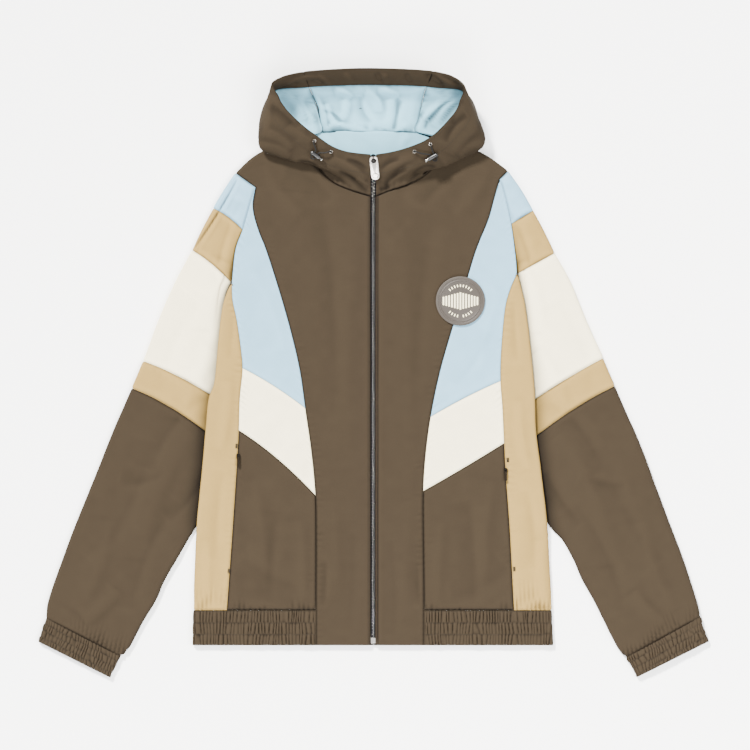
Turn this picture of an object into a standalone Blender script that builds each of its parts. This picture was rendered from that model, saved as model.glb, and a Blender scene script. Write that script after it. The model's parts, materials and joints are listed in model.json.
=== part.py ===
"""A hooded colour-block windbreaker laid flat on its back, front up. Lengths are in millimetres and
become metres where a mesh is made. +X is the wearer's left, +Y runs from the hem to the hood and +Z
leaves the table."""

import bpy
import bmesh
import numpy as np
from math import cos, pi, radians, sin

mm = 0.001

# Driving sizes
clothWall = 1.8        # a panel's wall: woven shell with its seam allowances
hoodWall = 1.2
liningWall = 1.0
seamGap = 0.3
laidHeight = 7.4       # two walls and the air between them
tuckedHeight = 4.8     # a sleeve's inner edge where the body lies on it
liftedHeight = 10.9    # the body's side fold where it lies on the sleeve
liftedUnder = 5.3
backReturn = 38        # how far a side panel comes round onto the back
sleeveReturn = 10
shoulderReturn = 6
bandHeight = 49        # elastic hem
zipHalfWidth = 3.85    # from the middle of the teeth to the folded front edge
neckHeight = 628
napeHeight = 717.5
facingWidth = 30       # brown strip inside the hood's edge
middleHeight = 381.1   # half way from the cuffs' ends to the hood's top
gatherPitch = 6.3
cuffPitch = 5.1
gatherRise = 0.9
foldAngles = (pi / 3, 2 * pi / 3, pi)   # points round a rolled edge

colours = {
    "brown": ("6B5C4A", 0.78, 0.0),
    "tan": ("D3BE9E", 0.78, 0.0),
    "cream": ("ECE9E0", 0.78, 0.0),
    "sky": ("CBDCE3", 0.78, 0.0),
    "lining": ("C6DBE2", 0.82, 0.0),
    "tape": ("262524", 0.85, 0.0),
    "gunmetal": ("4A4947", 0.35, 1.0),
    "nickel": ("C9C3BB", 0.3, 1.0),
    "lock": ("1F1D1C", 0.25, 0.0),
    "cord": ("3B3128", 0.8, 0.0),
    "rubber": ("6A5A49", 0.6, 0.0),
}

# Seams and edges of each half as (distance from the centre front, height above the hem), hem first.
# "r" is the wearer's right half, at -X, and "l" the left.
seams = {
    "r": {
        "princess": [(80, 0), (80, 49), (80, 147), (81, 210), (87, 273), (95, 329), (103, 385),
                     (116, 441), (132, 497), (150, 553), (161, 581), (169, 612), (165, 641)],
        "side": [(205, 49), (200, 119), (196, 175), (189, 283), (187, 343), (183, 385),
                 (185, 413), (191, 455), (197, 483), (198, 507)],
        "edge": [(253, 0), (252, 49), (248, 161), (240, 245), (235, 301), (231, 343),
                 (222, 371), (217, 427), (215, 483), (211, 497), (200, 507)],
        "armhole": [(198, 507), (193, 553), (183, 582), (173, 616), (165, 641)],
        "shoulder": [(98, 706.5), (128, 702), (156, 692), (175, 679), (193, 661)],
        "outer": [(193, 661), (209, 637), (226, 609), (241, 581), (254, 553), (276, 511),
                  (301, 455), (322, 399), (346, 343), (370, 287), (392, 231), (415, 175),
                  (436, 119), (455, 63), (458, 39)],
        "inner": [(198, 507), (206, 483), (208, 427), (213, 371), (226, 301), (231, 231),
                  (238, 189), (246, 168), (259, 147), (276, 119), (292, 91), (304, 63),
                  (321, 35), (340, -1), (353, -15)],
    },
    "l": {
        "princess": [(71, 0), (71, 49), (70, 147), (70, 216), (74, 273), (82, 329), (94, 385),
                     (110, 441), (127, 497), (144, 553), (161, 595), (169, 623), (177, 652)],
        "side": [(197, 49), (191, 161), (185, 245), (181, 329), (178, 371), (179, 413),
                 (184, 469), (191, 497), (201, 520)],
        "edge": [(252, 0), (250, 49), (244, 161), (235, 245), (228, 301), (226, 357),
                 (219, 427), (214, 483), (211, 500), (204, 520)],
        "armhole": [(201, 520), (199, 546), (193, 590), (184, 630), (177, 652)],
        "shoulder": [(98, 706.5), (122, 702), (147, 692), (166, 681), (189, 664)],
        "outer": [(189, 664), (208, 637), (224, 609), (239, 581), (254, 549), (275, 511),
                  (298, 455), (322, 402), (347, 343), (371, 287), (393, 231), (414, 175),
                  (435, 119), (453, 63), (458, 41)],
        "inner": [(201, 520), (204, 483), (208, 427), (217, 357), (222, 287), (229, 231),
                  (239, 182), (250, 161), (264, 147), (280, 119), (292, 91), (308, 63),
                  (322, 35), (342, -3), (354, -16)],
    },
}

# Heights at which the colour-block seams meet the princess seam and the side seam, and their bow
blocks = {
    "r": {"pocketTop": (210, 301, 6), "creamTop": (332, 388, 3)},
    "l": {"pocketTop": (216, 283, -1), "creamTop": (320, 370, 2)},
}

# Cross seams of a sleeve: height on the outer edge, height on the inner edge, bow towards the shoulder
crossSeams = {
    "r": {"capEnd": (612, 582, 3), "tanEnd": (553, 507, 4), "creamEnd": (398, 344, 4),
          "lowTanEnd": (360, 293, 6), "cuff": (39, -15, 0)},
    "l": {"capEnd": (609, 590, 0), "tanEnd": (549, 520, 0), "creamEnd": (402, 339, 2),
          "lowTanEnd": (363, 288, 5), "cuff": (41, -16, 0)},
}
cuffEnds = {"r": ((469, 5), (369, -45)), "l": ((469, 5), (369, -45))}

# Hood sections from the zip round to the crown seam: foot, belly and rim, each (across, up, height)
hoodSections = {
    "r": [
        ((3.85, 628, 7.4), (4, 655, 18), (4, 686, 30)),
        ((30, 636, 7.4), (34, 660, 21), (36, 690, 31)),
        ((55, 647, 7.6), (63, 667, 24), (58, 698, 34)),
        ((76, 665, 8.2), (90, 674, 22), (79, 712, 40)),
        ((89, 680, 8.2), (110, 677, 20), (96, 724, 45)),
        ((95, 693, 8.2), (133, 684, 19), (116, 742, 50)),
        ((98, 706, 8.2), (155, 692, 19), (128, 757, 53)),
        ((73, 718, 2.3), (160, 708, 18), (134, 769, 54)),
        ((75, 735, 0), (154, 740, 15), (142, 785, 51)),
        ((77, 745, 1), (136, 772, 16), (124, 796, 46)),
        ((78, 752, 3), (88, 779, 19), (97, 802, 44)),
    ],
    "l": [
        ((3.85, 628, 7.4), (4, 655, 18), (4, 686, 30)),
        ((26, 637, 7.4), (30, 660, 21), (23, 689, 31)),
        ((50, 645, 7.6), (57, 664, 24), (46, 695, 34)),
        ((73, 660, 8.2), (86, 667, 22), (70, 704, 40)),
        ((87, 677, 8.2), (108, 674, 20), (87, 715, 45)),
        ((94, 692, 8.2), (128, 683, 19), (104, 732, 50)),
        ((98, 706, 8.2), (148, 692, 19), (116, 747, 53)),
        ((60, 718, 2.3), (156, 706, 18), (122, 761, 54)),
        ((63, 735, 0), (147, 729, 15), (128, 781, 51)),
        ((65, 745, 1), (128, 768, 16), (110, 796, 46)),
        ((66, 752, 3), (73, 779, 19), (83, 803, 44)),
    ],
}
crownTop = (-5, 807, 42)   # middle of the hood's far edge
hoodPlaces = list(np.linspace(0, 6, 9)) + [6.5, 7, 7.75, 8.5, 9.25, 10]   # where columns of points stand
napePlace = 10             # which of them is the nape's corner
sideNeckPlace = 8          # and which is the shoulder's neck end
hoodRows = 5               # below the facing
crownColumns = 6

# Trims
badge = {"place": (122, 482), "radius": 34.5, "rim": 3.4, "thick": 1.6, "raise": 0.6}
mainPull = {"width": 10.4, "length": 33.6, "thick": 1.4, "bar": 2.0, "hole": 2.8, "arch": 0.8,
            "plate": (7.0, 13.0, 1.4), "turn": 6}
pocketPull = {"width": 3.6, "length": 17, "thick": 1.0, "bar": 1.3, "hole": 1.15, "arch": 0.42,
              "plate": (5.0, 8.0, 1.1), "turn": 0}
pullClearance = 0.18   # all round a pull's bar in its bridge
barSlack = 0.06        # and a little more under and over it
pocketSliderLift = 0.4
mainSliderLift = 0.15  # from the teeth to the slider's plate, beside the seam gap
sliderHeight = 683         # of the main slider's bridge along the zip
pocketSliders = {"r": (189, 266), "l": (185.5, 246)}
lock = {"radius": 3.2, "length": 14, "holes": (-4.2, 1.6), "hole": 1.25, "bore": 1.85, "boreDepth": 3.1,
        "stem": 1.5, "head": 2.7, "headLength": 2.0, "travel": 2.0}
lockPlaces = {"r": (2.75, 24), "l": (3.15, 25)}       # section and distance from the rim
eyeletPlaces = {"r": ((3.05, 8), (2.0, 8)), "l": ((3.35, 8), (2.35, 8))}
eyelet = {"outer": 2.6, "inner": 1.3, "height": 0.8}
cordRadius = 0.9


# ---------------------------------------------------------------- curves and grids

def smoothPath(points, repeat=8):
    """Catmull-Rom through the points, as a dense polyline."""
    points = np.array(points, float)
    padded = np.vstack([2 * points[0] - points[1], points, 2 * points[-1] - points[-2]])
    dense = []
    for index in range(len(points) - 1):
        before, start, end, after = padded[index:index + 4]
        for step in range(repeat):
            t = step / repeat
            dense.append(start + 0.5 * t * (end - before + t * (
                2 * before - 5 * start + 4 * end - after + t * (3 * (start - end) + after - before))))
    dense.append(points[-1])
    return np.array(dense)


def lengthsAlong(path):
    steps = np.linalg.norm(np.diff(path, axis=0), axis=1)
    return np.concatenate([[0], np.cumsum(steps)])


def alongPath(path, distances):
    lengths = lengthsAlong(path)
    return np.stack([np.interp(distances, lengths, path[:, axis]) for axis in range(path.shape[1])], 1)


def spaced(points, count):
    """count + 1 points evenly along the smooth path through the points."""
    path = smoothPath(points)
    return alongPath(path, np.linspace(0, lengthsAlong(path)[-1], count + 1))


def across(points, height):
    """Distance from the centre front of a seam at the height, for seams that only climb."""
    path = smoothPath(points)
    order = np.argsort(path[:, 1])
    return np.interp(height, path[order, 1], path[order, 0])


def seamPoints(points, heights):
    return np.stack([across(points, heights), np.asarray(heights, float)], 1)


def ease(value):
    value = np.clip(value, 0, 1)
    return value * value * (3 - 2 * value)


def bowed(start, end, count, bow):
    """Points from start to end, bowed sideways up the garment."""
    share = np.linspace(0, 1, count + 1)[:, None]
    line = np.array(start) + share * (np.array(end) - np.array(start))
    line[:, 1] += (4 * bow * share * (1 - share))[:, 0]
    return line


def coons(bottom, top, left, right):
    """Patch between four edges: rows run from bottom to top, columns from left to right."""
    u = np.linspace(0, 1, len(bottom))[None, :, None]
    v = np.linspace(0, 1, len(left))[:, None, None]
    ruled = (1 - v) * bottom[None] + v * top[None] + (1 - u) * left[:, None] + u * right[:, None]
    corners = ((1 - u) * (1 - v) * bottom[0] + u * (1 - v) * bottom[-1]
               + (1 - u) * v * top[0] + u * v * top[-1])
    return ruled - corners


def unit(vectors):
    return vectors / np.maximum(np.linalg.norm(vectors, axis=-1, keepdims=True), 1e-9)


def gridNormals(grid, flip=1):
    down = np.gradient(grid, axis=0)
    along = np.gradient(grid, axis=1)
    return flip * unit(np.cross(along, down))


def trimmed(grid, edges, gap=seamGap / 2):
    """Moves the named edges of a grid inwards by half a seam gap, square to the edge."""
    grid = grid.copy()
    for edge in edges:
        turned = {"first": grid, "last": grid[::-1], "left": grid.swapaxes(0, 1),
                  "right": grid.swapaxes(0, 1)[::-1]}[edge]
        tangent = unit(np.gradient(turned[0], axis=0))
        inward = turned[1] - turned[0]
        inward = inward - (inward * tangent).sum(-1, keepdims=True) * tangent
        turned[0] += unit(inward) * gap
    return grid


# ---------------------------------------------------------------- solids

def material(name):
    hexColour, roughness, metallic = colours[name]
    found = bpy.data.materials.get(name)
    if found:
        return found
    made = bpy.data.materials.new(name)
    made.use_nodes = True
    shader = made.node_tree.nodes["Principled BSDF"]
    channels = [int(hexColour[at:at + 2], 16) / 255 for at in (0, 2, 4)]
    linear = [channel / 12.92 if channel < 0.04 else ((channel + 0.055) / 1.055) ** 2.4
              for channel in channels]
    shader.inputs["Base Color"].default_value = (*linear, 1)
    shader.inputs["Roughness"].default_value = roughness
    shader.inputs["Metallic"].default_value = metallic
    made.diffuse_color = (*linear, 1)
    return made


def solid(name, points, faces, colour, sharp=35):
    """One closed body, its faces turned outwards. Points are millimetres above the hem's middle."""
    points = np.asarray(points, float) - (0, middleHeight, 0)
    mesh = bpy.data.meshes.new(name)
    mesh.from_pydata((points * mm).tolist(), [], [list(map(int, face)) for face in faces])
    work = bmesh.new()
    work.from_mesh(mesh)
    bmesh.ops.recalc_face_normals(work, faces=work.faces)
    work.to_mesh(mesh)
    work.free()
    mesh.shade_smooth()
    mesh.set_sharp_from_angle(angle=radians(sharp))
    mesh.materials.append(material(colour))
    made = bpy.data.objects.new(name, mesh)
    bpy.context.scene.collection.objects.link(made)
    return made


def wall(name, grid, colour, normals, thick=clothWall, depth=0, ribs=None, closed=False, mirror=1):
    """A cloth wall under a grid of outer points. ribs raises the outer points over a plain inside."""
    rows, columns = grid.shape[:2]
    raised = 0 if ribs is None else ribs[..., None]
    outer = grid + normals * (raised - depth)
    inner = grid - normals * (depth + thick)
    points = np.concatenate([outer.reshape(-1, 3), inner.reshape(-1, 3)]) * (mirror, 1, 1)
    index = np.arange(rows * columns).reshape(rows, columns)
    if closed:
        index = np.hstack([index, index[:, :1]])
    under = index + rows * columns
    faces = []
    for row in range(index.shape[0] - 1):
        for column in range(index.shape[1] - 1):
            a, b = index[row, column], index[row, column + 1]
            d, c = index[row + 1, column], index[row + 1, column + 1]
            flat = grid.reshape(-1, 3)
            shorter = np.linalg.norm(flat[a] - flat[c]) <= np.linalg.norm(flat[b] - flat[d])
            for triangle in ((a, b, c), (a, c, d)) if shorter else ((a, b, d), (b, c, d)):
                faces.append(triangle)
                faces.append([at + rows * columns for at in reversed(triangle)])
    borders = [(index[0], under[0]), (index[-1], under[-1])]
    if not closed:
        borders += [(index[:, 0], under[:, 0]), (index[:, -1], under[:, -1])]
    for upper, lower in borders:
        for at in range(len(upper) - 1):
            faces.append([upper[at], upper[at + 1], lower[at + 1], lower[at]])
    return solid(name, points, faces, colour, sharp=50)


def turned(name, profile, sides, frame, colour, sharp=35):
    """A ring or disc from (radius, height) points turned about the frame's third axis."""
    origin, xAxis, yAxis, zAxis = frame
    points = []
    for radius, height in profile:
        for side in range(sides):
            angle = 2 * pi * side / sides
            points.append(origin + radius * (cos(angle) * xAxis + sin(angle) * yAxis) + height * zAxis)
    faces = []
    rings = len(profile)
    for ring in range(rings):
        above = (ring + 1) % rings
        for side in range(sides):
            beside = (side + 1) % sides
            faces.append([ring * sides + side, ring * sides + beside,
                          above * sides + beside, above * sides + side])
    return solid(name, points, faces, colour, sharp)


def capped(name, profile, sides, frame, colour, sharp=35):
    """A solid turned from (radius, height) points, closed by a flat disc at each end."""
    origin, xAxis, yAxis, zAxis = frame
    points = []
    for radius, height in profile:
        for side in range(sides):
            angle = 2 * pi * (side + 0.5) / sides
            points.append(origin + radius * (cos(angle) * xAxis + sin(angle) * yAxis) + height * zAxis)
    faces = [list(range(sides)), list(range((len(profile) - 1) * sides, len(profile) * sides))]
    for ring in range(len(profile) - 1):
        for side in range(sides):
            beside = (side + 1) % sides
            faces.append([ring * sides + side, ring * sides + beside,
                          (ring + 1) * sides + beside, (ring + 1) * sides + side])
    return solid(name, points, faces, colour, sharp)


def plate(name, outline, thick, frame, colour):
    """A flat piece: an outline in the frame's first two axes, thick along the third."""
    origin, xAxis, yAxis, zAxis = frame
    count = len(outline)
    points = [origin + x * xAxis + y * yAxis + side * thick / 2 * zAxis
              for side in (-1, 1) for x, y in outline]
    faces = [list(range(count)), list(range(count, 2 * count))]
    for at in range(count):
        beside = (at + 1) % count
        faces.append([at, beside, count + beside, count + at])
    return solid(name, points, faces, colour)


def sweep(name, path, radius, sides, up, colour):
    """A round bar along a bent path."""
    path = np.array(path, float)
    points = []
    for at, tangent in enumerate(unit(np.gradient(path, axis=0))):
        beside = unit(np.cross(tangent, up))
        over = np.cross(beside, tangent)
        for side in range(sides):
            angle = 2 * pi * side / sides
            points.append(path[at] + radius * (cos(angle) * beside + sin(angle) * over))
    faces = [list(range(sides)), list(range((len(path) - 1) * sides, len(path) * sides))]
    for ring in range(len(path) - 1):
        for side in range(sides):
            beside = (side + 1) % sides
            faces.append([ring * sides + side, ring * sides + beside,
                          (ring + 1) * sides + beside, (ring + 1) * sides + side])
    return solid(name, points, faces, colour)


def combine(target, tool, operation):
    """Adds the tool to the target or cuts it away, and hides the tool."""
    cut = target.modifiers.new(operation.lower(), "BOOLEAN")
    cut.operation = operation
    cut.object = tool
    tool.hide_render = True
    tool.display_type = "WIRE"


# ---------------------------------------------------------------- body

tuckLow, tuckHigh = (120, 60), (560, 50)   # heights where the sleeve has left the body, and each run-out
liftBand, liftRun = 55, 42                 # how far from its edge the front starts to rise, and the rise's run


def sleeveUnder(height):
    """1 where the sleeve lies under the body's side, 0 where it has left it."""
    return ease((height - tuckLow[0]) / tuckLow[1]) * ease((tuckHigh[0] - height) / tuckHigh[1])


def frontTop(side, x, y):
    """Height of the front's outer face."""
    edge = across(seams[side]["edge"], np.clip(y, 0, 505))
    towardsEdge = ease((x - edge + liftBand) / liftRun)
    return laidHeight + (liftedHeight - laidHeight) * towardsEdge * sleeveUnder(y)


def onFront(side, plan):
    """Plan points laid on the front's outer face, and the face's normals there."""
    x, y = plan[..., 0], plan[..., 1]
    step = 1.0
    slopeX = (frontTop(side, x + step, y) - frontTop(side, x - step, y)) / (2 * step)
    slopeY = (frontTop(side, x, y + step) - frontTop(side, x, y - step)) / (2 * step)
    normals = unit(np.stack([-slopeX, -slopeY, np.ones_like(slopeX)], -1))
    return np.concatenate([plan, frontTop(side, x, y)[..., None]], -1), normals


pocketSteps, creamSteps, chestLowSteps = 4, 3, 3


def armholePoints(side):
    """The armhole from the underarm up, at the sleeve's own rows."""
    rows, starts = sleeveRows(side)
    heights = [row[1] for row in rows[starts["stripe_sleeve"]::-1]]
    return seamPoints(seams[side]["armhole"], heights)


def chestTop(side):
    return seams[side]["princess"][-1][1] - 5


def princessHeights(side):
    pocketTop, creamTop = blocks[side]["pocketTop"][0], blocks[side]["creamTop"][0]
    chestSteps = chestLowSteps + len(armholePoints(side)) - 1
    return (np.linspace(bandHeight, pocketTop, pocketSteps + 1),
            np.linspace(pocketTop, creamTop, creamSteps + 1),
            np.linspace(creamTop, chestTop(side), chestSteps + 1))


def sideHeights(side):
    pocketTop, creamTop = blocks[side]["pocketTop"][1], blocks[side]["creamTop"][1]
    top = seams[side]["side"][-1][1] - 5
    return (np.linspace(bandHeight, pocketTop, pocketSteps + 1),
            np.linspace(pocketTop, creamTop, creamSteps + 1),
            np.linspace(creamTop, top, chestLowSteps + 1))


def shoulderLine(side, count):
    """Points along the shoulder fold from the neck to the armhole, and the way out of the cloth at each."""
    line = spaced(seams[side]["shoulder"], count)
    tangent = unit(np.gradient(line, axis=0))
    outward = np.stack([-tangent[:, 1], tangent[:, 0]], 1)
    outward[-1] = unit(line[-1] - np.array(seams[side]["armhole"][-1], float))
    return line, outward


def frontPanel(side, mirror):
    """Centre front from the hem to the shoulder, with the fold over the shoulder."""
    lines = seams[side]
    pocket, cream, chest = princessHeights(side)
    heights = np.concatenate([[0], pocket, cream[1:], chest[1:], [lines["princess"][-1][1]]])
    right = seamPoints(lines["princess"], heights)
    zipEdge = np.stack([np.full(len(heights), zipHalfWidth), heights * neckHeight / heights[-1]], 1)
    columns = 4
    share = np.linspace(0, 1, columns + 1)[None, :, None]
    lower = zipEdge[:, None] * (1 - share) + right[:, None] * share
    neck = np.array([hoodSection(side, place)[0, :2] for place in hoodPlaces[:sideNeckPlace + 1]])
    shoulder, outward = shoulderLine(side, columns)
    radius = laidHeight / 2
    topRow = shoulder - outward * radius
    neck[-1] = topRow[0]
    cap = np.linspace(right[-1], topRow[-1], len(neck))
    upper = coons(lower[-1], topRow, neck, cap)
    plan = np.concatenate([lower, upper[1:]])
    grid, normals = onFront(side, plan)
    folds = []
    for angle in foldAngles:
        moved = grid[-1].copy()
        moved[:, :2] += radius * sin(angle) * outward
        moved[:, 2] = radius + radius * cos(angle)
        folds.append(moved)
    under = folds[-1].copy()
    under[:, :2] -= shoulderReturn * outward
    whole = np.concatenate([grid, folds, [under]])
    wholeNormals = gridNormals(whole)
    wholeNormals[:len(grid) - 1] = normals[:-1]
    wall("front_" + side, trimmed(whole, ("left", "right")), "brown", wholeNormals, mirror=mirror)


def colourBlocks(side, mirror):
    """Pocket panel, cream stripe and sky-blue chest, from the hem band up."""
    lines = seams[side]
    pocket, cream, chest = princessHeights(side)
    pocketSide, creamSide, chestSide = sideHeights(side)
    columns = 4
    stripeBow, chestBow = blocks[side]["pocketTop"][2], blocks[side]["creamTop"][2]
    left = [seamPoints(lines["princess"], heights) for heights in (pocket, cream, chest)]
    right = [seamPoints(lines["side"], heights) for heights in (pocketSide, creamSide, chestSide)]
    armhole = armholePoints(side)
    armhole[-1] = armhole[-2] + (armhole[-1] - armhole[-2]) * (chest[-1] - armhole[-2, 1]) / (
        armhole[-1, 1] - armhole[-2, 1])
    right[2] = np.concatenate([right[2], armhole[1:]])
    hemLine = bowed(left[0][0], right[0][0], columns, 0)
    pocketLine = bowed(left[0][-1], right[0][-1], columns, stripeBow)
    chestLine = bowed(left[1][-1], right[1][-1], columns, chestBow)
    topLine = bowed(left[2][-1], right[2][-1], columns, 0)
    patches = (("pocket_panel_", "brown", hemLine, pocketLine, 0),
               ("stripe_", "cream", pocketLine, chestLine, 1),
               ("chest_", "sky", chestLine, topLine, 2))
    for name, colour, bottom, top, at in patches:
        plan = trimmed(coons(bottom, top, left[at], right[at]), ("first", "last", "left", "right"))
        grid, normals = onFront(side, plan)
        wall(name + side, grid, colour, normals, mirror=mirror)


def sidePanel(side, mirror):
    """Tan panel beside the pocket that goes round the side fold and a hand's width onto the back."""
    lines = seams[side]
    heights = np.concatenate([part[1:] if at else part for at, part in enumerate(sideHeights(side))])
    rows = []
    for height in heights:
        inner = across(lines["side"], height)
        edge = across(lines["edge"], height)
        under = sleeveUnder(height)
        bottom = liftedUnder * under
        top = laidHeight + (liftedHeight - laidHeight) * under
        radius = (top - bottom) / 2
        row = [(inner + share * (edge - radius - inner), None) for share in (0, 0.35, 0.7, 1)]
        row += [(edge - radius + radius * sin(angle), bottom + radius + radius * cos(angle))
                for angle in foldAngles]
        row += [(edge - 13, bottom), (edge - backReturn + 5, 0), (edge - backReturn, 0)]
        rows.append([(x, height, frontTop(side, x, height) if z is None else z) for x, z in row])
    grid = np.array(rows, float)
    normals = gridNormals(grid)
    normals[:, 0] = onFront(side, grid[:, 0, :2])[1]
    grid = trimmed(grid, ("first", "last", "left", "right"))
    grid[..., 2] = np.maximum(grid[..., 2], 0)
    wall("side_panel_" + side, grid, "tan", normals, mirror=mirror)


def backPanel():
    """The plain back, flat on the table from the hem band to the neck and the shoulder folds."""
    halves = {}
    for side in ("r", "l"):
        low = np.concatenate([part[1:] if at else part for at, part in enumerate(sideHeights(side))])
        outline = [(across(seams[side]["edge"], height) - backReturn - seamGap, height) for height in low]
        outline += [(x - seamGap / 2, y) for x, y in armholePoints(side)[1:]]
        shoulder, outward = shoulderLine(side, 4)
        inset = shoulder - outward * (laidHeight / 2 + shoulderReturn + seamGap)
        outline += [tuple(point) for point in inset[::-1]]
        halves[side] = np.array(outline)
        halves[side][-6:-4, 1] += seamGap
    columns = 2
    share = np.linspace(0, 1, columns + 1)
    rows = []
    for right, left in zip(halves["r"], halves["l"]):
        x = -right[0] + share * (right[0] + left[0])
        y = right[1] + share * (left[1] - right[1])
        rows.append(np.stack([x, y, np.zeros(columns + 1)], 1))
    nape = rows[-1].copy()
    nape[:, 0] *= 0.8
    nape[:, 1] = napeHeight - seamGap / 2
    rows.append(nape)
    grid = np.array(rows)
    grid[0, :, 1] += seamGap / 2
    normals = np.zeros_like(grid)
    normals[..., 2] = -1
    wall("back", grid, "brown", normals)


# ---------------------------------------------------------------- hem band and cuffs

def gathered(length, pitch):
    """Even number of columns so that each gather has one crest and one trough."""
    return 2 * max(2, round(length / pitch))


def hemBand(side, mirror):
    """Elastic band: gathers over its front and round the fold, plain where it lies on the table."""
    lines = seams[side]
    heights = np.linspace(0, bandHeight, 3)
    rows = []
    ribRows = []
    for height in heights:
        inner = across(lines["princess"], height)
        edge = across(lines["edge"], height)
        radius = laidHeight / 2
        count = gathered(edge - radius - inner, gatherPitch)
        front = np.linspace(inner, edge - radius, count + 1)
        row = [(x, laidHeight) for x in front]
        row += [(edge - radius + radius * sin(angle), radius + radius * cos(angle))
                for angle in foldAngles]
        row += [(x, 0) for x in (edge - backReturn, edge / 2, seamGap / 2)]
        ribs = np.zeros(len(row))
        ribs[1:count:2] = gatherRise
        ribs[2:count:2] = -gatherRise / 3
        ribRows.append(ribs * (0.55 if height in (heights[0], heights[-1]) else 1))
        rows.append([(x, height, z) for x, z in row])
    grid = np.array(rows, float)
    wall("hem_band_" + side, trimmed(grid, ("last", "left")), "brown", gridNormals(grid),
         ribs=np.array(ribRows), mirror=mirror)


cuffRows = ((0.012, 0.5), (0.5, 1), (1, 0.5))   # share of the cuff's length, and of the gathers' rise


def cuff(side, mirror):
    """Elastic cuff: a closed band from the sleeve's last row to the cuff's end."""
    lines = seams[side]
    outerEnd, innerEnd = (np.array(point, float) for point in cuffEnds[side])
    outerSeam, innerSeam = np.array(lines["outer"][-1], float), np.array(lines["inner"][-1], float)
    rows = []
    ribRows = []
    for share, swell in cuffRows:
        outer = outerSeam + share * (outerEnd - outerSeam)
        inner = innerSeam + share * (innerEnd - innerSeam)
        width = np.linalg.norm(inner - outer)
        towards = (inner - outer) / width
        radius = laidHeight / 2
        count = gathered(np.linalg.norm(innerEnd - outerEnd) - laidHeight, cuffPitch)
        section = [(a, laidHeight) for a in np.linspace(radius, width - radius, count + 1)]
        section += [(width - radius + radius * sin(angle), radius + radius * cos(angle))
                    for angle in foldAngles[:2]]
        section += [(a, 0) for a in np.linspace(width - radius, radius, 4)]
        section += [(radius - radius * sin(angle), radius - radius * cos(angle))
                    for angle in foldAngles[:2]]
        ribs = np.zeros(len(section))
        ribs[1:count:2] = gatherRise * swell
        ribs[2:count:2] = -gatherRise / 3 * swell
        ribRows.append(ribs)
        rows.append([(*(outer + a * towards), z) for a, z in section])
    grid = np.array(rows, float)
    wrapped = np.concatenate([grid[:, -1:], grid, grid[:, :1]], 1)
    normals = gridNormals(wrapped)[:, 1:-1]
    facing = 1 if normals[1, 4, 2] > 0 else -1
    wall("cuff_" + side, grid, "brown", normals * facing, ribs=np.array(ribRows), closed=True,
         mirror=mirror)


# ---------------------------------------------------------------- sleeves

sleeveSteps = {"cap": 3, "upper_tan": 3, "stripe_sleeve": 5, "lower_tan": 2, "forearm": 8}
sleeveColours = {"cap": "sky", "upper_tan": "tan", "stripe_sleeve": "cream", "lower_tan": "tan",
                 "forearm": "brown"}
sleeveShared = 7        # points of a row that the segments above and below the armhole have in common


def sleeveRows(side):
    """Heights of each row of a sleeve on its outer and inner edges, and its bow, shoulder first,
    with each segment's first row."""
    lines = seams[side]
    cross = crossSeams[side]
    stops = [(lines["outer"][0][1], lines["armhole"][-1][1], 0)]
    stops += [cross[name] for name in ("capEnd", "tanEnd", "creamEnd", "lowTanEnd", "cuff")]
    rows = []
    starts = {}
    for segment, (name, steps) in enumerate(sleeveSteps.items()):
        first, last = np.array(stops[segment], float), np.array(stops[segment + 1], float)
        starts[name] = len(rows)
        for step in range(steps):
            rows.append(first + (last - first) * step / steps)
    rows.append(np.array(stops[-1], float))
    starts["end"] = len(rows) - 1
    return rows, starts


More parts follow.
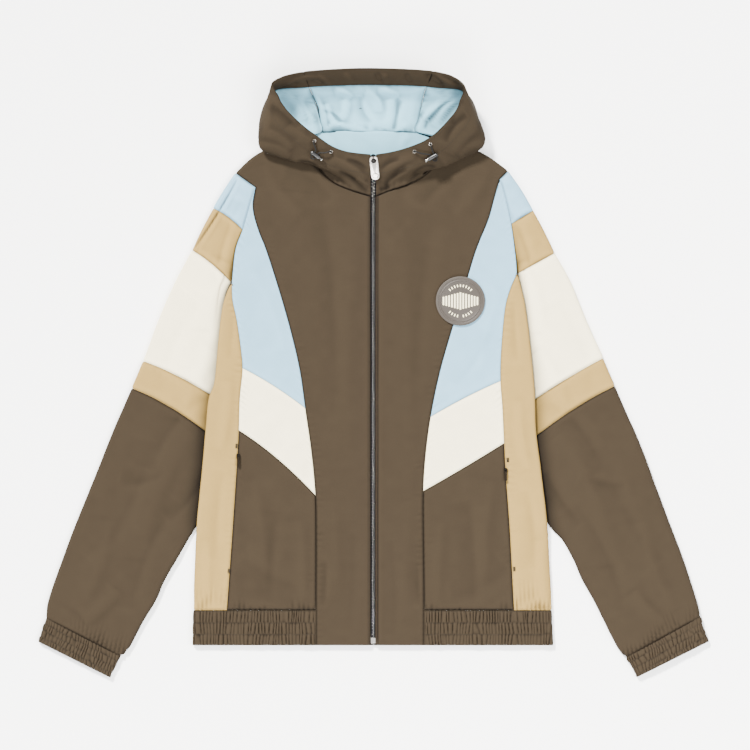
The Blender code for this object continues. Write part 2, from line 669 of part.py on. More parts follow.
def sleeve(side, mirror):
    """The colour segments of one sleeve, wrapped round its outer edge, its back and its cuff."""
    lines = seams[side]
    rows, starts = sleeveRows(side)
    upperRows, lowerRows, backRows = [], [], []
    for index, (outerHeight, innerHeight, bow) in enumerate(rows):
        outer = np.array([across(lines["outer"][::-1], outerHeight), outerHeight])
        onArmhole = index <= starts["stripe_sleeve"]
        innerLine = lines["armhole"] if onArmhole else lines["inner"][::-1]
        inner = np.array([across(innerLine, innerHeight), innerHeight])
        width = np.linalg.norm(inner - outer)
        towards = (inner - outer) / width
        tucked = sleeveUnder(innerHeight)
        innerTop = laidHeight + (tuckedHeight - laidHeight) * tucked
        radius = laidHeight / 2

        def placed(a, z):
            swing = bow * 4 * (a / width) * (1 - a / width)
            return (outer[0] + a * towards[0], outer[1] + a * towards[1] + swing, z)

        section = [(sleeveReturn, 0)]
        section += [(radius - radius * sin(angle), radius - radius * cos(angle))
                    for angle in (0, pi / 3, 2 * pi / 3)]
        section.append((radius, laidHeight))
        section += [(share * width, laidHeight) for share in (0.3, 0.55)]
        if index <= starts["stripe_sleeve"]:
            fall = ease((index - 0.6) / (starts["stripe_sleeve"] - 1))
            depth = laidHeight + (tuckedHeight - 0.2 - laidHeight) * fall
            middle = laidHeight - 0.3 * (laidHeight - depth)
            upperRows.append([placed(a, z) for a, z in section + [(0.8 * width, middle), (width, depth)]])
        if index >= starts["stripe_sleeve"]:
            small = innerTop / 2
            folded = [(width - 0.3 * (width - 14) + 3, 0.7 * laidHeight + 0.3 * innerTop),
                      (width - 14, innerTop), (width - small, innerTop)]
            folded += [(width - small + small * sin(angle), small + small * cos(angle))
                       for angle in foldAngles]
            folded.append((width - sleeveReturn, 0))
            lowerRows.append([placed(a, z) for a, z in section + folded])
        hidden = sleeveReturn + seamGap
        innerEnd = width - (seamGap / 2 if index < starts["stripe_sleeve"] else hidden)
        backRows.append([placed(a, 0) for a in (hidden, innerEnd)])
    upper, lower, back = (np.array(part, float) for part in (upperRows, lowerRows, backRows))
    upperNormals, lowerNormals = outwards(upper), outwards(lower)
    meeting = unit(lowerNormals[0, :sleeveShared] + upperNormals[-1, :sleeveShared])
    lowerNormals[0, :sleeveShared] = meeting
    upperNormals[-1, :sleeveShared] = meeting
    names = list(sleeveSteps)
    for at, name in enumerate(names):
        first = starts[name]
        last = starts[names[at + 1]] if at + 1 < len(names) else starts["end"]
        onUpper = last <= starts["stripe_sleeve"]
        shift = 0 if onUpper else starts["stripe_sleeve"]
        grid = (upper if onUpper else lower)[first - shift:last - shift + 1]
        normals = (upperNormals if onUpper else lowerNormals)[first - shift:last - shift + 1]
        edges = ("first", "last", "right") if onUpper else ("first", "last")
        if name == "cap":
            grid = trimmed(grid, ("first",), seamGap)
        wall(f"{name}_{side}", trimmed(grid, edges), sleeveColours[name], normals, mirror=mirror)
    down = np.zeros_like(back)
    down[..., 2] = -1
    wall("sleeve_back_" + side, trimmed(back, ("first", "last")), "brown", down, mirror=mirror)
    cuff(side, mirror)


def outwards(grid):
    """Normals of a sleeve grid that point up on its front."""
    normals = gridNormals(grid)
    return normals if normals[1, 6, 2] > 0 else -normals


# ---------------------------------------------------------------- hood

def hoodSection(side, place):
    """Dense path from foot to rim of the section at a place between the listed ones."""
    sections = np.array(hoodSections[side], float)
    before = int(min(np.floor(place), len(sections) - 2))
    t = place - before
    picked = [sections[min(max(before + shift, 0), len(sections) - 1)] for shift in (-1, 0, 1, 2)]
    mixed = picked[1] + 0.5 * t * (picked[2] - picked[0] + t * (
        2 * picked[0] - 5 * picked[1] + 4 * picked[2] - picked[3]
        + t * (3 * (picked[1] - picked[2]) + picked[3] - picked[0])))
    foot, belly, rim = mixed
    lead = foot.copy()
    lead[:2] += 0.45 * (belly[:2] - foot[:2])
    atSide = ease(place / 3)
    lead[2] += (0.12 * atSide + 0.45 * (1 - atSide)) * (belly[2] - foot[2])
    upper = rim + 0.45 * (belly - rim) + (0, 0, 0.06 * (rim[2] - belly[2]))
    return smoothPath([foot, lead, belly, upper, rim])


def rimDistances(length):
    """Distances from the rim: the facing's rows, then even rows to the foot."""
    low = np.linspace(facingWidth, length, hoodRows + 1)
    return np.concatenate([[0, facingWidth / 2], low])


def hoodColumn(side, place):
    path = hoodSection(side, place)[::-1]
    return alongPath(path, rimDistances(lengthsAlong(path)[-1]))


def hoodSide(side):
    """Outer points of one side of the hood, a column for each place from the zip to the crown seam."""
    grid = np.stack([hoodColumn(side, place) for place in hoodPlaces], 1)
    grid[..., 2] = np.maximum(grid[..., 2], 0)
    return grid


def crownGrid(right, left):
    """Outer points of the crown panel, from the rim down the far wall and along the table to the nape."""
    edges = []
    for grid, mirror in ((right, -1), (left, 1)):
        floor = grid[-1, napePlace:-1][::-1]
        edges.append(np.concatenate([grid[:, -1], floor]) * (mirror, 1, 1))
    share = np.linspace(0, 1, crownColumns + 1)[None, :, None]
    grid = edges[0][:, None] * (1 - share) + edges[1][:, None] * share
    bulge = 4 * share[..., 0] * (1 - share[..., 0])
    onWall = len(right)
    climb = np.concatenate([np.linspace(1, 0, onWall), np.zeros(len(grid) - onWall)])[:, None]
    ends = (edges[0][0] + edges[1][0]) / 2
    grid[..., 1] += (crownTop[1] - ends[1]) * bulge * climb
    grid[..., 2] += (crownTop[2] - ends[2]) * bulge * climb
    grid[onWall - 1:, :, 2] *= (2 * share[..., 0] - 1) ** 2
    return grid


def hoodNormals(grid):
    """Outward normals of a hood grid: the collar beside the zip faces the viewer."""
    normals = gridNormals(grid)
    return normals if normals[1, 0, 2] > 0 else -normals


def hood():
    """Sides, crown, their linings and the facing inside the rim."""
    grids = {side: hoodSide(side) for side in ("r", "l")}
    normals = {side: hoodNormals(grids[side]) for side in ("r", "l")}
    crown = crownGrid(grids["r"], grids["l"])
    crownNormals = gridNormals(crown)
    if crownNormals[2, 3, 1] < 0:
        crownNormals = -crownNormals
    wallRows = len(grids["r"])
    for side, mirror, column in (("r", -1, 0), ("l", 1, -1)):
        meeting = unit(normals[side][:, -1] * (mirror, 1, 1) + crownNormals[:wallRows, column])
        crownNormals[:wallRows, column] = meeting
        normals[side][:, -1] = meeting * (mirror, 1, 1)
        crownNormals[wallRows:, column] = (0, 0, -1)
        normals[side][-1, napePlace:-1] = (0, 0, -1)
    facings = []
    for side, mirror in (("r", -1), ("l", 1)):
        grid, out = grids[side], normals[side]
        wall("hood_side_" + side, trimmed(grid, ("last", "right")), "brown", out, thick=hoodWall,
             mirror=mirror)
        lining = trimmed(grid[2:], ("first", "last", "right"))
        wall("hood_lining_" + side, lining, "lining", out[2:], thick=liningWall,
             depth=hoodWall + seamGap, mirror=mirror)
        facings.append((grid[:3] * (mirror, 1, 1), out[:3] * (mirror, 1, 1)))
    wall("hood_crown", trimmed(crown, ("last", "left", "right")), "brown", crownNormals, thick=hoodWall)
    wall("hood_lining_crown", trimmed(crown[2:], ("first", "last", "left", "right")), "lining",
         crownNormals[2:], thick=liningWall, depth=hoodWall + seamGap)
    strip = np.concatenate([facings[0][0], crown[:3, 1:-1], facings[1][0][:, ::-1]], 1)
    stripNormals = np.concatenate([facings[0][1], crownNormals[:3, 1:-1], facings[1][1][:, ::-1]], 1)
    wall("hood_facing", trimmed(strip, ("last",)), "brown", stripNormals, thick=liningWall,
         depth=hoodWall + seamGap)


neckFacingRows = ((650, 34), (662, 48), (680, 55), (700, 56), (716, 55))   # height and half width


def neckFacing():
    """Half-moon of lining cloth inside the back neck."""
    share = np.linspace(-1, 1, 7)
    top = clothWall + seamGap + liningWall
    middle = -4
    grid = np.array([[(middle + half * at, height, top) for at in share]
                     for height, half in neckFacingRows], float)
    normals = np.zeros_like(grid)
    normals[..., 2] = 1
    wall("neck_facing", grid, "lining", normals, thick=liningWall)


# ---------------------------------------------------------------- zip

def zipTop(height):
    """Height of the front edge beside the zip, which climbs the collar to the hood's rim."""
    body = frontTop("r", np.full_like(height, zipHalfWidth), height)
    collar = hoodColumn("r", 0)[::-1]
    return np.where(height < neckHeight, body, np.interp(height, collar[:, 1], collar[:, 2]))


def zipStrip(name, inner, outer, low, high, start, end, colour):
    """A strip along the zip between two distances from its middle and two depths under the front's face."""
    collar = hoodColumn("r", 0)[::-1, 1]
    heights = np.concatenate([np.linspace(start, neckHeight - 5, 8), collar[(collar < end - 3)], [end]])
    count = len(heights) - 1
    top = zipTop(heights)
    slope = np.gradient(top, heights)
    ends = []
    for height, z, rise in zip(heights, top, slope):
        lean = np.array([0, -rise, 1]) / np.hypot(rise, 1)
        base = np.array([0, height, z])
        corners = ((inner, low), (outer, low), (outer, high), (inner, high))
        ends.append([base + (x, 0, 0) - deep * lean for x, deep in corners])
    points = np.array(ends).reshape(-1, 3)
    faces = [[0, 1, 2, 3], [4 * count + at for at in range(4)]]
    for at in range(count):
        for corner in range(4):
            beside = (corner + 1) % 4
            faces.append([4 * at + corner, 4 * at + beside, 4 * at + 4 + beside, 4 * at + 4 + corner])
    solid(name, points, faces, colour)


tapeTop, tapeThick, tapeHalfWidth = 3.2, 0.8, 7.5
chainHalfWidth, chainRise = 2.6, 1.5
tapeEnds, chainEnds = (3, 684), (11, 676)       # heights above the hem
pinBox = {"half": (3.3, 3.6), "thick": 1.9, "height": 6.5}


def mainZip():
    """Two tapes under the folded front edges, one solid row of teeth on them, and the box at the hem."""
    tape = (tapeTop, tapeTop + tapeThick, *tapeEnds, "tape")
    zipStrip("zip_tape_l", seamGap / 2, tapeHalfWidth, *tape)
    zipStrip("zip_tape_r", -tapeHalfWidth, -seamGap / 2, *tape)
    zipStrip("zip_chain", -chainHalfWidth, chainHalfWidth, tapeTop - seamGap - chainRise,
             tapeTop - seamGap, *chainEnds, "gunmetal")
    base = np.array([0, pinBox["height"], laidHeight - tapeTop + seamGap + pinBox["thick"] / 2])
    x, y = pinBox["half"]
    frame = (base, np.array([1, 0, 0]), np.array([0, 1, 0]), np.array([0, 0, 1]))
    plate("zip_box", [(-x, -y), (x, -y), (x, y), (-x, y)], pinBox["thick"], frame, "nickel")


def slider(name, sizes, frame, colour):
    """Slider body with a bridge, and its pull tab through the bridge. The frame is on the bridge's bar:
    first axis across, second up the zip, third out of the cloth."""
    origin, xAxis, yAxis, zAxis = frame
    width, length, thick = sizes["plate"]
    top = sizes["bar"] / 2 + pullClearance + barSlack
    inside = 2 * top
    halfLength = sizes["bar"] / 2 + 1.5 * sizes["arch"] + pullClearance
    foot = origin - (top + thick / 2) * zAxis - (length / 2 - halfLength - 2 * sizes["arch"]) * yAxis
    corner = 0.3 * width
    outline = [(-width / 2, -length / 2 + corner), (-width / 2 + corner, -length / 2),
               (width / 2 - corner, -length / 2), (width / 2, -length / 2 + corner),
               (width / 2, length / 2 - corner), (width / 2 - corner, length / 2),
               (-width / 2 + corner, length / 2), (-width / 2, length / 2 - corner)]
    body = plate(name + "_slider", outline, thick, (foot, xAxis, yAxis, zAxis), colour)
    reach = halfLength + sizes["arch"]
    crown = inside - top + sizes["arch"]
    bend = [(-reach, -top - thick / 2), (-reach, 0), (-reach * 0.72, crown * 0.8), (-reach * 0.3, crown),
            (reach * 0.3, crown), (reach * 0.72, crown * 0.8), (reach, 0), (reach, -top - thick / 2)]
    bridge = sweep(name + "_bridge", [origin + y * yAxis + z * zAxis for y, z in bend], sizes["arch"], 8,
                   xAxis, colour)
    combine(body, bridge, "UNION")
    turn = radians(sizes["turn"])
    sideways = cos(turn) * xAxis + sin(turn) * yAxis
    along = cos(turn) * yAxis - sin(turn) * xAxis
    half = sizes["width"] / 2
    bar = sizes["bar"]
    end = bar / 2 - sizes["length"]
    outline = [(half * 0.55, bar / 2), (half * 0.86, bar / 2 - half * 0.3),
               (half * 0.97, bar / 2 - half * 0.9), (half, end + half)]
    outline += [(half * cos(angle), end + half - half * sin(angle))
                for angle in np.linspace(0, pi, 9)[1:-1]]
    outline += [(-x, y) for x, y in reversed(outline[:4])]
    tab = plate(name + "_pull", outline, sizes["thick"], (origin, sideways, along, zAxis), "nickel")
    holeCentre = origin - (bar / 2 + sizes["hole"]) * along
    cutter = capped(name + "_eye", [(sizes["hole"], -3), (sizes["hole"], 3)], 14,
                    (holeCentre, sideways, along, zAxis), "nickel")
    combine(tab, cutter, "DIFFERENCE")


def leaning(origin, sideways, up):
    """A frame with its third axis square to two directions in a surface."""
    xAxis = unit(np.array(sideways, float))
    zAxis = unit(np.cross(xAxis, np.array(up, float)))
    return np.array(origin, float), xAxis, np.cross(zAxis, xAxis), zAxis


def zipHardware():
    """The main slider at the top of the zip and a small slider on each pocket."""
    high, low = zipTop(np.array([sliderHeight + 1.0, sliderHeight - 9.0]))
    up = (0, 10, high - low)
    frame = leaning((0, sliderHeight, 0), (1, 0, 0), up)
    top = zipTop(np.array([float(sliderHeight)]))[0]
    barToPlate = mainPull["bar"] / 2 + pullClearance + barSlack + mainPull["plate"][2]
    rise = barToPlate - (tapeTop - 2 * seamGap - chainRise) + mainSliderLift
    origin = np.array([0, sliderHeight, top]) + rise * frame[3]
    slider("zip", mainPull, (origin,) + frame[1:], "gunmetal")
    for side, mirror in (("r", -1), ("l", 1)):
        x, y = pocketSliders[side]
        above = across(seams[side]["side"], y + 10.0)
        below = across(seams[side]["side"], y - 20.0)
        plan = np.array([[x, y]], float)
        place, normal = onFront(side, plan)
        rise = pocketPull["bar"] / 2 + pullClearance + barSlack + pocketPull["plate"][2] + seamGap
        frame = leaning(place[0] * (mirror, 1, 1), (1, 0, 0), (mirror * (above - below), 30, 0))
        origin = place[0] * (mirror, 1, 1) + (rise + pocketSliderLift) * frame[3]
        slider("pocket_" + side, pocketPull, (origin,) + frame[1:], "gunmetal")


# ---------------------------------------------------------------- badge, eyelets, locks and cords

def badgeDisc():
    """Moulded rubber badge with a raised edge and a thin raised ring, plain inside."""
    x, y = badge["place"]
    base = frontTop("l", np.array([float(x)]), np.array([float(y)]))[0] + seamGap + 0.1
    radius, edge, thick, rise = badge["radius"], badge["rim"], badge["thick"], badge["raise"]
    ring = 0.8 * radius
    profile = [(radius - 0.4, 0), (radius, 0.6), (radius - 0.3, thick + rise),
               (radius - edge, thick + rise),
               (radius - edge - 0.5, thick), (ring + 0.6, thick), (ring, thick + 0.4), (ring - 0.6, thick),
               (3, thick)]
    frame = (np.array([x, y, base], float), np.array([1, 0, 0]), np.array([0, 1, 0]), np.array([0, 0, 1]))
    capped("badge", profile, 32, frame, "rubber")


def hoodFrame(side, mirror, place, distance):
    """Point on the hood's outer face at a section and a distance from the rim: its frame runs along the rim
    away from the zip, then towards the rim, then outwards."""
    def point(at, far):
        return alongPath(hoodSection(side, at)[::-1], [far])[0] * (mirror, 1, 1)

    origin = point(place, distance)
    along = unit(point(place + 0.2, distance) - point(place - 0.2, distance))
    rimward = unit(point(place, distance - 2) - point(place, distance + 2))
    out = unit(np.cross(along, rimward)) * mirror
    rimward = np.cross(out, along) * mirror
    return origin, along, rimward, out


def drawcord(side, mirror):
    """Two eyelets, a barrel lock with its button, and the elastic cord that runs from eyelet to eyelet."""
    eyes = [hoodFrame(side, mirror, *place) for place in eyeletPlaces[side]]
    ring = [(eyelet["outer"], 0), (eyelet["outer"] * 0.92, eyelet["height"]),
            (eyelet["inner"] * 1.1, eyelet["height"]), (eyelet["inner"], 0)]
    for name, (origin, along, rimward, out) in zip(("far", "near"), eyes):
        base = origin + 0.55 * out
        turned(f"eyelet_{name}_{side}", ring, 12, (base, along, rimward, out), "nickel")
    origin, along, rimward, out = hoodFrame(side, mirror, *lockPlaces[side])
    centre = origin + (lock["radius"] + 1.2) * out
    axis = -along
    half = lock["length"] / 2
    barrelFrame = (centre, rimward, out, axis)
    radius = lock["radius"]
    barrel = capped("lock_" + side, [(radius * 0.72, -half - 0.9), (radius, -half + 0.6),
                                     (radius, half - 0.4), (radius * 0.9, half)], 14, barrelFrame, "lock")
    holes = [centre + at * axis for at in lock["holes"]]
    for name, hole in zip(("far", "near"), holes):
        cutter = capped(f"lock_hole_{name}_{side}", [(lock["hole"], -6), (lock["hole"], 6)], 10,
                        (hole, axis, out, rimward), "lock")
        combine(barrel, cutter, "DIFFERENCE")
    bore = capped("lock_bore_" + side, [(lock["bore"], half - lock["boreDepth"]), (lock["bore"], half + 3)],
                  12, barrelFrame, "lock")
    combine(barrel, bore, "DIFFERENCE")
    headStart = half + lock["travel"] + 0.3
    capped("lock_button_" + side, [(lock["stem"], half - lock["boreDepth"] + lock["travel"] + 0.3),
                                   (lock["stem"], headStart), (lock["head"], headStart + 0.01),
                                   (lock["head"], headStart + lock["headLength"] - 0.5),
                                   (lock["head"] - 0.5, headStart + lock["headLength"])],
           12, barrelFrame, "nickel")
    spread = (lock["holes"][1] - lock["holes"][0]) / 2
    middle = centre + (lock["holes"][0] + spread) * axis
    route = [eyes[0][0] + 0.5 * eyes[0][3], eyes[0][0] + 2.2 * eyes[0][3]]
    route += [eyes[0][0] + 4.2 * eyes[0][3] - 2.2 * rimward]
    route += [holes[0] + far * rimward for far in (6.5, 3.6, 0, -3.6)]
    route += [middle - (4.4 + spread * sin(angle)) * rimward - spread * cos(angle) * axis
              for angle in (pi / 4, pi / 2, 3 * pi / 4)]
    route += [holes[1] + far * rimward for far in (-3.6, 0, 3.6, 5.5)]
    bend = 0.5 * (holes[1] + 5.5 * rimward + eyes[1][0] + 4.4 * eyes[1][3])
    route += [bend + 0.6 * out, eyes[1][0] + 4.2 * eyes[1][3] + 2.0 * along]
    route += [eyes[1][0] + 2.2 * eyes[1][3], eyes[1][0] + 0.5 * eyes[1][3]]
    path = smoothPath(route)
    total = lengthsAlong(path)[-1]
    points = alongPath(path, np.linspace(0, total, round(total / 2.5) + 1)) - (0, middleHeight, 0)
    print(f"cord_{side} is {total:.1f} mm")
    curve = bpy.data.curves.new("cord_" + side, "CURVE")
    curve.dimensions = "3D"
    curve.bevel_depth = cordRadius * mm
    curve.bevel_resolution = 2
    curve.use_fill_caps = True
    spline = curve.splines.new("POLY")
    spline.points.add(len(points) - 1)
    for target, point in zip(spline.points, points):
        target.co = (*(point * mm), 1)
    curve.materials.append(material("cord"))
    bpy.context.scene.collection.objects.link(bpy.data.objects.new("cord_" + side, curve))


def main():
    """Clears the scene and makes every piece."""
    for old in list(bpy.data.objects):
        bpy.data.objects.remove(old)
    for side, mirror in (("r", -1), ("l", 1)):
        frontPanel(side, mirror)
        colourBlocks(side, mirror)
        sidePanel(side, mirror)
        hemBand(side, mirror)
        sleeve(side, mirror)
        drawcord(side, mirror)
    backPanel()
    hood()
    neckFacing()
    mainZip()
    zipHardware()
    badgeDisc()


main()
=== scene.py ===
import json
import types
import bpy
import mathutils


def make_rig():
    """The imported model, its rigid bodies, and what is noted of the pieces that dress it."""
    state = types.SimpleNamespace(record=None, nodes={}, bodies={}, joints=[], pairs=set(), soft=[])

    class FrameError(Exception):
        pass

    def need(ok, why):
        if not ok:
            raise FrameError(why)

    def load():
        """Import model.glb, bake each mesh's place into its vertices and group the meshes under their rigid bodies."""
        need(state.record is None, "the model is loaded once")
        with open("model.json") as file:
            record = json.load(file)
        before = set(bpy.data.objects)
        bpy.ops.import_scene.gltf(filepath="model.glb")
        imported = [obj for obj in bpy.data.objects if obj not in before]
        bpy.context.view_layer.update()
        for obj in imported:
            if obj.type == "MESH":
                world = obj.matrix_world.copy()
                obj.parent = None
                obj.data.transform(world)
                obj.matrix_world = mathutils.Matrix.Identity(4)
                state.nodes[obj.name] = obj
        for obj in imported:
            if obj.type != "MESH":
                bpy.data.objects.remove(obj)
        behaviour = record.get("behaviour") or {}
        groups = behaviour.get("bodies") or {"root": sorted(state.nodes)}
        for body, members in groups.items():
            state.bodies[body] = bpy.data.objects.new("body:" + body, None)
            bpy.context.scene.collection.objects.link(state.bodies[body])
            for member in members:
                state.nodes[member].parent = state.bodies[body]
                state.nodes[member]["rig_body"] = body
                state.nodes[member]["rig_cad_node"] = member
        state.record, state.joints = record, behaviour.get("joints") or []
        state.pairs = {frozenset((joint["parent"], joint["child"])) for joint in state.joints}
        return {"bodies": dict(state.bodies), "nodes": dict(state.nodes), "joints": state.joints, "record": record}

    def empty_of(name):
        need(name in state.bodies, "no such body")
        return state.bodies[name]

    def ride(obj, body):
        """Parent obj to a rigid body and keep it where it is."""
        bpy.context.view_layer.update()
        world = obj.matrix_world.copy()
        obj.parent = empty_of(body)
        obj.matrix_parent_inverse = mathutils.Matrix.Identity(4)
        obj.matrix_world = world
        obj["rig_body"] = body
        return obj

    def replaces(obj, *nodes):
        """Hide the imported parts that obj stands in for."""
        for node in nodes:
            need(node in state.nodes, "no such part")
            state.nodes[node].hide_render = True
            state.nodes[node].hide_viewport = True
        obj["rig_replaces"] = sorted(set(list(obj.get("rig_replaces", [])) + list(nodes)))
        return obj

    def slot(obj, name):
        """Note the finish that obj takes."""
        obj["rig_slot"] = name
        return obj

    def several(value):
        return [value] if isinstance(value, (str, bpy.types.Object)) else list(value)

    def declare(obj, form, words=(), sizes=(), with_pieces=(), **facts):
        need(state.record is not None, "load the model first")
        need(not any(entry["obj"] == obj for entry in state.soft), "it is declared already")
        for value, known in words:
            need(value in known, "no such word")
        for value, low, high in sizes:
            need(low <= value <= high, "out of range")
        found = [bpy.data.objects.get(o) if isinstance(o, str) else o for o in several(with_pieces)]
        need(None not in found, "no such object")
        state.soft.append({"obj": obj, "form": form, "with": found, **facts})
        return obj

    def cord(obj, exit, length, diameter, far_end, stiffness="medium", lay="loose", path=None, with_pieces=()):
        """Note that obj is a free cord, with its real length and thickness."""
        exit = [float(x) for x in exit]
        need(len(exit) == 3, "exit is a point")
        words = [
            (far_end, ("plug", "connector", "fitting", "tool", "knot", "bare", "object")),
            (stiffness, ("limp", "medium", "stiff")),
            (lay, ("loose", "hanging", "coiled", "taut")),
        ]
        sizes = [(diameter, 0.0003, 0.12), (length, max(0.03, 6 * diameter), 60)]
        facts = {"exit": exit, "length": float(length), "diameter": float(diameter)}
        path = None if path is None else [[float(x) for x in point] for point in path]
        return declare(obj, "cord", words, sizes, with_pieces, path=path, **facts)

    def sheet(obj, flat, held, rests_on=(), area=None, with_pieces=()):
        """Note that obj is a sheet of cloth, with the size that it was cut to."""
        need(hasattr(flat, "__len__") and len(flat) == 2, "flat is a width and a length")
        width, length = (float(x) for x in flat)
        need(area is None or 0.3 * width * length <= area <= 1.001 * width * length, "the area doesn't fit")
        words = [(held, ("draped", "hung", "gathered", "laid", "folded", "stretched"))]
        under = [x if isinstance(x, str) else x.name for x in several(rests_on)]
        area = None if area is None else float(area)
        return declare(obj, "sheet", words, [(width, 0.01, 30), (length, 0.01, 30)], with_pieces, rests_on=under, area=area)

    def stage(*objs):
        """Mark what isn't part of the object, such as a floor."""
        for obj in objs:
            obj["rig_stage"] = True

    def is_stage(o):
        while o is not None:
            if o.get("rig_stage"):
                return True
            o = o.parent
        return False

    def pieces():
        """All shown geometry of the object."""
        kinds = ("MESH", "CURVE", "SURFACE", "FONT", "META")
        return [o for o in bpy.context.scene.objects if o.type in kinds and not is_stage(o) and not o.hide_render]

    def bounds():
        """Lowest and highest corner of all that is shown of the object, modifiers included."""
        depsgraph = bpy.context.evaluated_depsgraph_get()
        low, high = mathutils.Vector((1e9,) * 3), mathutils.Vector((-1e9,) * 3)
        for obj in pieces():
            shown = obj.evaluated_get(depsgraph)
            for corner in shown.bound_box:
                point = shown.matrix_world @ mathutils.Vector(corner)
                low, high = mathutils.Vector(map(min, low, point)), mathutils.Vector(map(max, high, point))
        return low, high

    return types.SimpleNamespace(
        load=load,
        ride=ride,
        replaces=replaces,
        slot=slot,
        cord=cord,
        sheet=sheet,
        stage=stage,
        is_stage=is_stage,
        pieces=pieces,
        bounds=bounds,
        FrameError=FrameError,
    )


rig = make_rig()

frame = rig.load()
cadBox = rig.bounds()

import json
from math import cos, pi, radians, sin

import bmesh
import bpy
import numpy as np
from mathutils import Matrix, Vector

mm = 0.001
middleHeight = 381.1   # mm from the hem to the middle of the garment
pixel = 1.4            # mm on the table for one step of the fold notes below
notesCentre, notesHem = 373.3, 645.3   # the centre front and the hem in those notes
mirrors = {"r": -1, "l": 1}            # each half and its sign across the garment

# camera

view = {"distance": 10.0, "across": 1.05, "middle": (0.0024, -0.0027), "plane": 0.0074}
lens = bpy.data.cameras.new("camera")
lens.sensor_width = 36
lens.lens = 36 * (view["distance"] - view["plane"]) / view["across"]
lens.clip_end = 80
eye = bpy.data.objects.new("camera", lens)
eye.location = (*view["middle"], view["distance"])
bpy.context.scene.collection.objects.link(eye)
bpy.context.scene.camera = eye
print("camera set")

# the cut: seams and edges of each half in mm: distance from the centre front, height above the hem

clothWall = 1.8        # shell with its lining and seam allowances
hoodWall = 1.2
liningWall = 1.0
seamGap = 0.3          # between neighbouring pieces
zipLap = 1.1           # the left front laps over the zip
cuffLap = 1.6          # the forearm laps over the cuff
laidHeight = 7.4       # two walls of cloth and the air between
tuckedHeight = 4.8     # of the sleeve's inner edge, tucked under the body
liftedHeight = 10.9    # of the body's edge where it lies on the sleeve
liftedUnder = 5.3      # the underside of that edge
backReturn = 38        # of the side panels, onto the back
sleeveReturn = 10      # of the sleeve's front pieces, onto its back
shoulderReturn = 6     # of the fronts, over the shoulder
bandHeight = 49
zipHalfWidth = 3.85
neckHeight = 628       # of the neck seam at the zip
napeHeight = 717.5     # of the neck seam at the back
facingWidth = 30
tuckLow, tuckHigh = (120, 60), (560, 50)   # height at which the sleeve is tucked from or to, and its run
liftBand, liftRun = 55, 42                 # distance from the edge at which the body rises, and its run

seams = {
    "r": {
        "princess": [(80, 0), (80, 49), (80, 147), (81, 210), (87, 273), (95, 329), (103, 385),
                     (116, 441), (132, 497), (150, 553), (161, 581), (169, 612), (165, 641)],
        "side": [(205, 49), (200, 119), (196, 175), (189, 283), (187, 343), (183, 385),
                 (185, 413), (191, 455), (197, 483), (198, 507)],
        "edge": [(253, 0), (252, 49), (248, 161), (240, 245), (235, 301), (231, 343),
                 (222, 371), (217, 427), (212, 470), (206, 492), (199, 507)],
        "armhole": [(198, 507), (193, 553), (183, 582), (173, 616), (165, 641)],
        "shoulder": [(98, 706.5), (128, 702), (156, 692), (175, 679), (193, 661)],
        "outer": [(193, 661), (209, 637), (226, 609), (241, 581), (254, 553), (276, 511),
                  (301, 455), (322, 399), (346, 343), (370, 287), (392, 231), (415, 175),
                  (436, 119), (455, 63), (458, 39)],
        "inner": [(198, 507), (206, 483), (208, 427), (213, 371), (226, 301), (231, 231),
                  (238, 189), (246, 168), (259, 147), (276, 119), (292, 91), (304, 63),
                  (321, 35), (340, -1), (353, -15)],
    },
    "l": {
        "princess": [(71, 0), (71, 49), (70, 147), (70, 216), (74, 273), (82, 329), (94, 385),
                     (110, 441), (127, 497), (144, 553), (161, 595), (169, 623), (177, 652)],
        "side": [(197, 49), (191, 161), (185, 245), (181, 329), (178, 371), (179, 413),
                 (184, 469), (191, 497), (201, 520)],
        "edge": [(252, 0), (250, 49), (244, 161), (235, 245), (228, 301), (226, 357),
                 (219, 427), (213, 474), (208, 498), (202, 520)],
        "armhole": [(201, 520), (199, 546), (193, 590), (184, 630), (177, 652)],
        "shoulder": [(98, 706.5), (122, 702), (147, 692), (166, 681), (189, 664)],
        "outer": [(189, 664), (208, 637), (224, 609), (239, 581), (254, 549), (275, 511),
                  (298, 455), (322, 402), (347, 343), (371, 287), (393, 231), (414, 175),
                  (435, 119), (453, 63), (458, 41)],
        "inner": [(201, 520), (204, 483), (208, 427), (217, 357), (222, 287), (229, 231),
                  (239, 182), (250, 161), (264, 147), (280, 119), (292, 91), (308, 63),
                  (322, 35), (342, -3), (354, -16)],
    },
}
blocks = {   # where the cream stripe's seams meet the princess seam and the side seam, and their bow
    "r": {"pocketTop": (210, 301, 6), "creamTop": (332, 388, 3)},
    "l": {"pocketTop": (216, 283, -1), "creamTop": (320, 370, 2)},
}
crossSeams = {   # height on the sleeve's outer edge, on its inner edge, and the bow
    "r": [(612, 582, 3), (553, 507, 4), (398, 344, 4), (360, 293, 6), (39, -15, 0)],
    "l": [(609, 590, 0), (549, 520, 0), (402, 339, 2), (363, 288, 5), (41, -16, 0)],
}
cuffEnds = np.array([(469.0, 5), (369, -45)])   # outer and inner corner
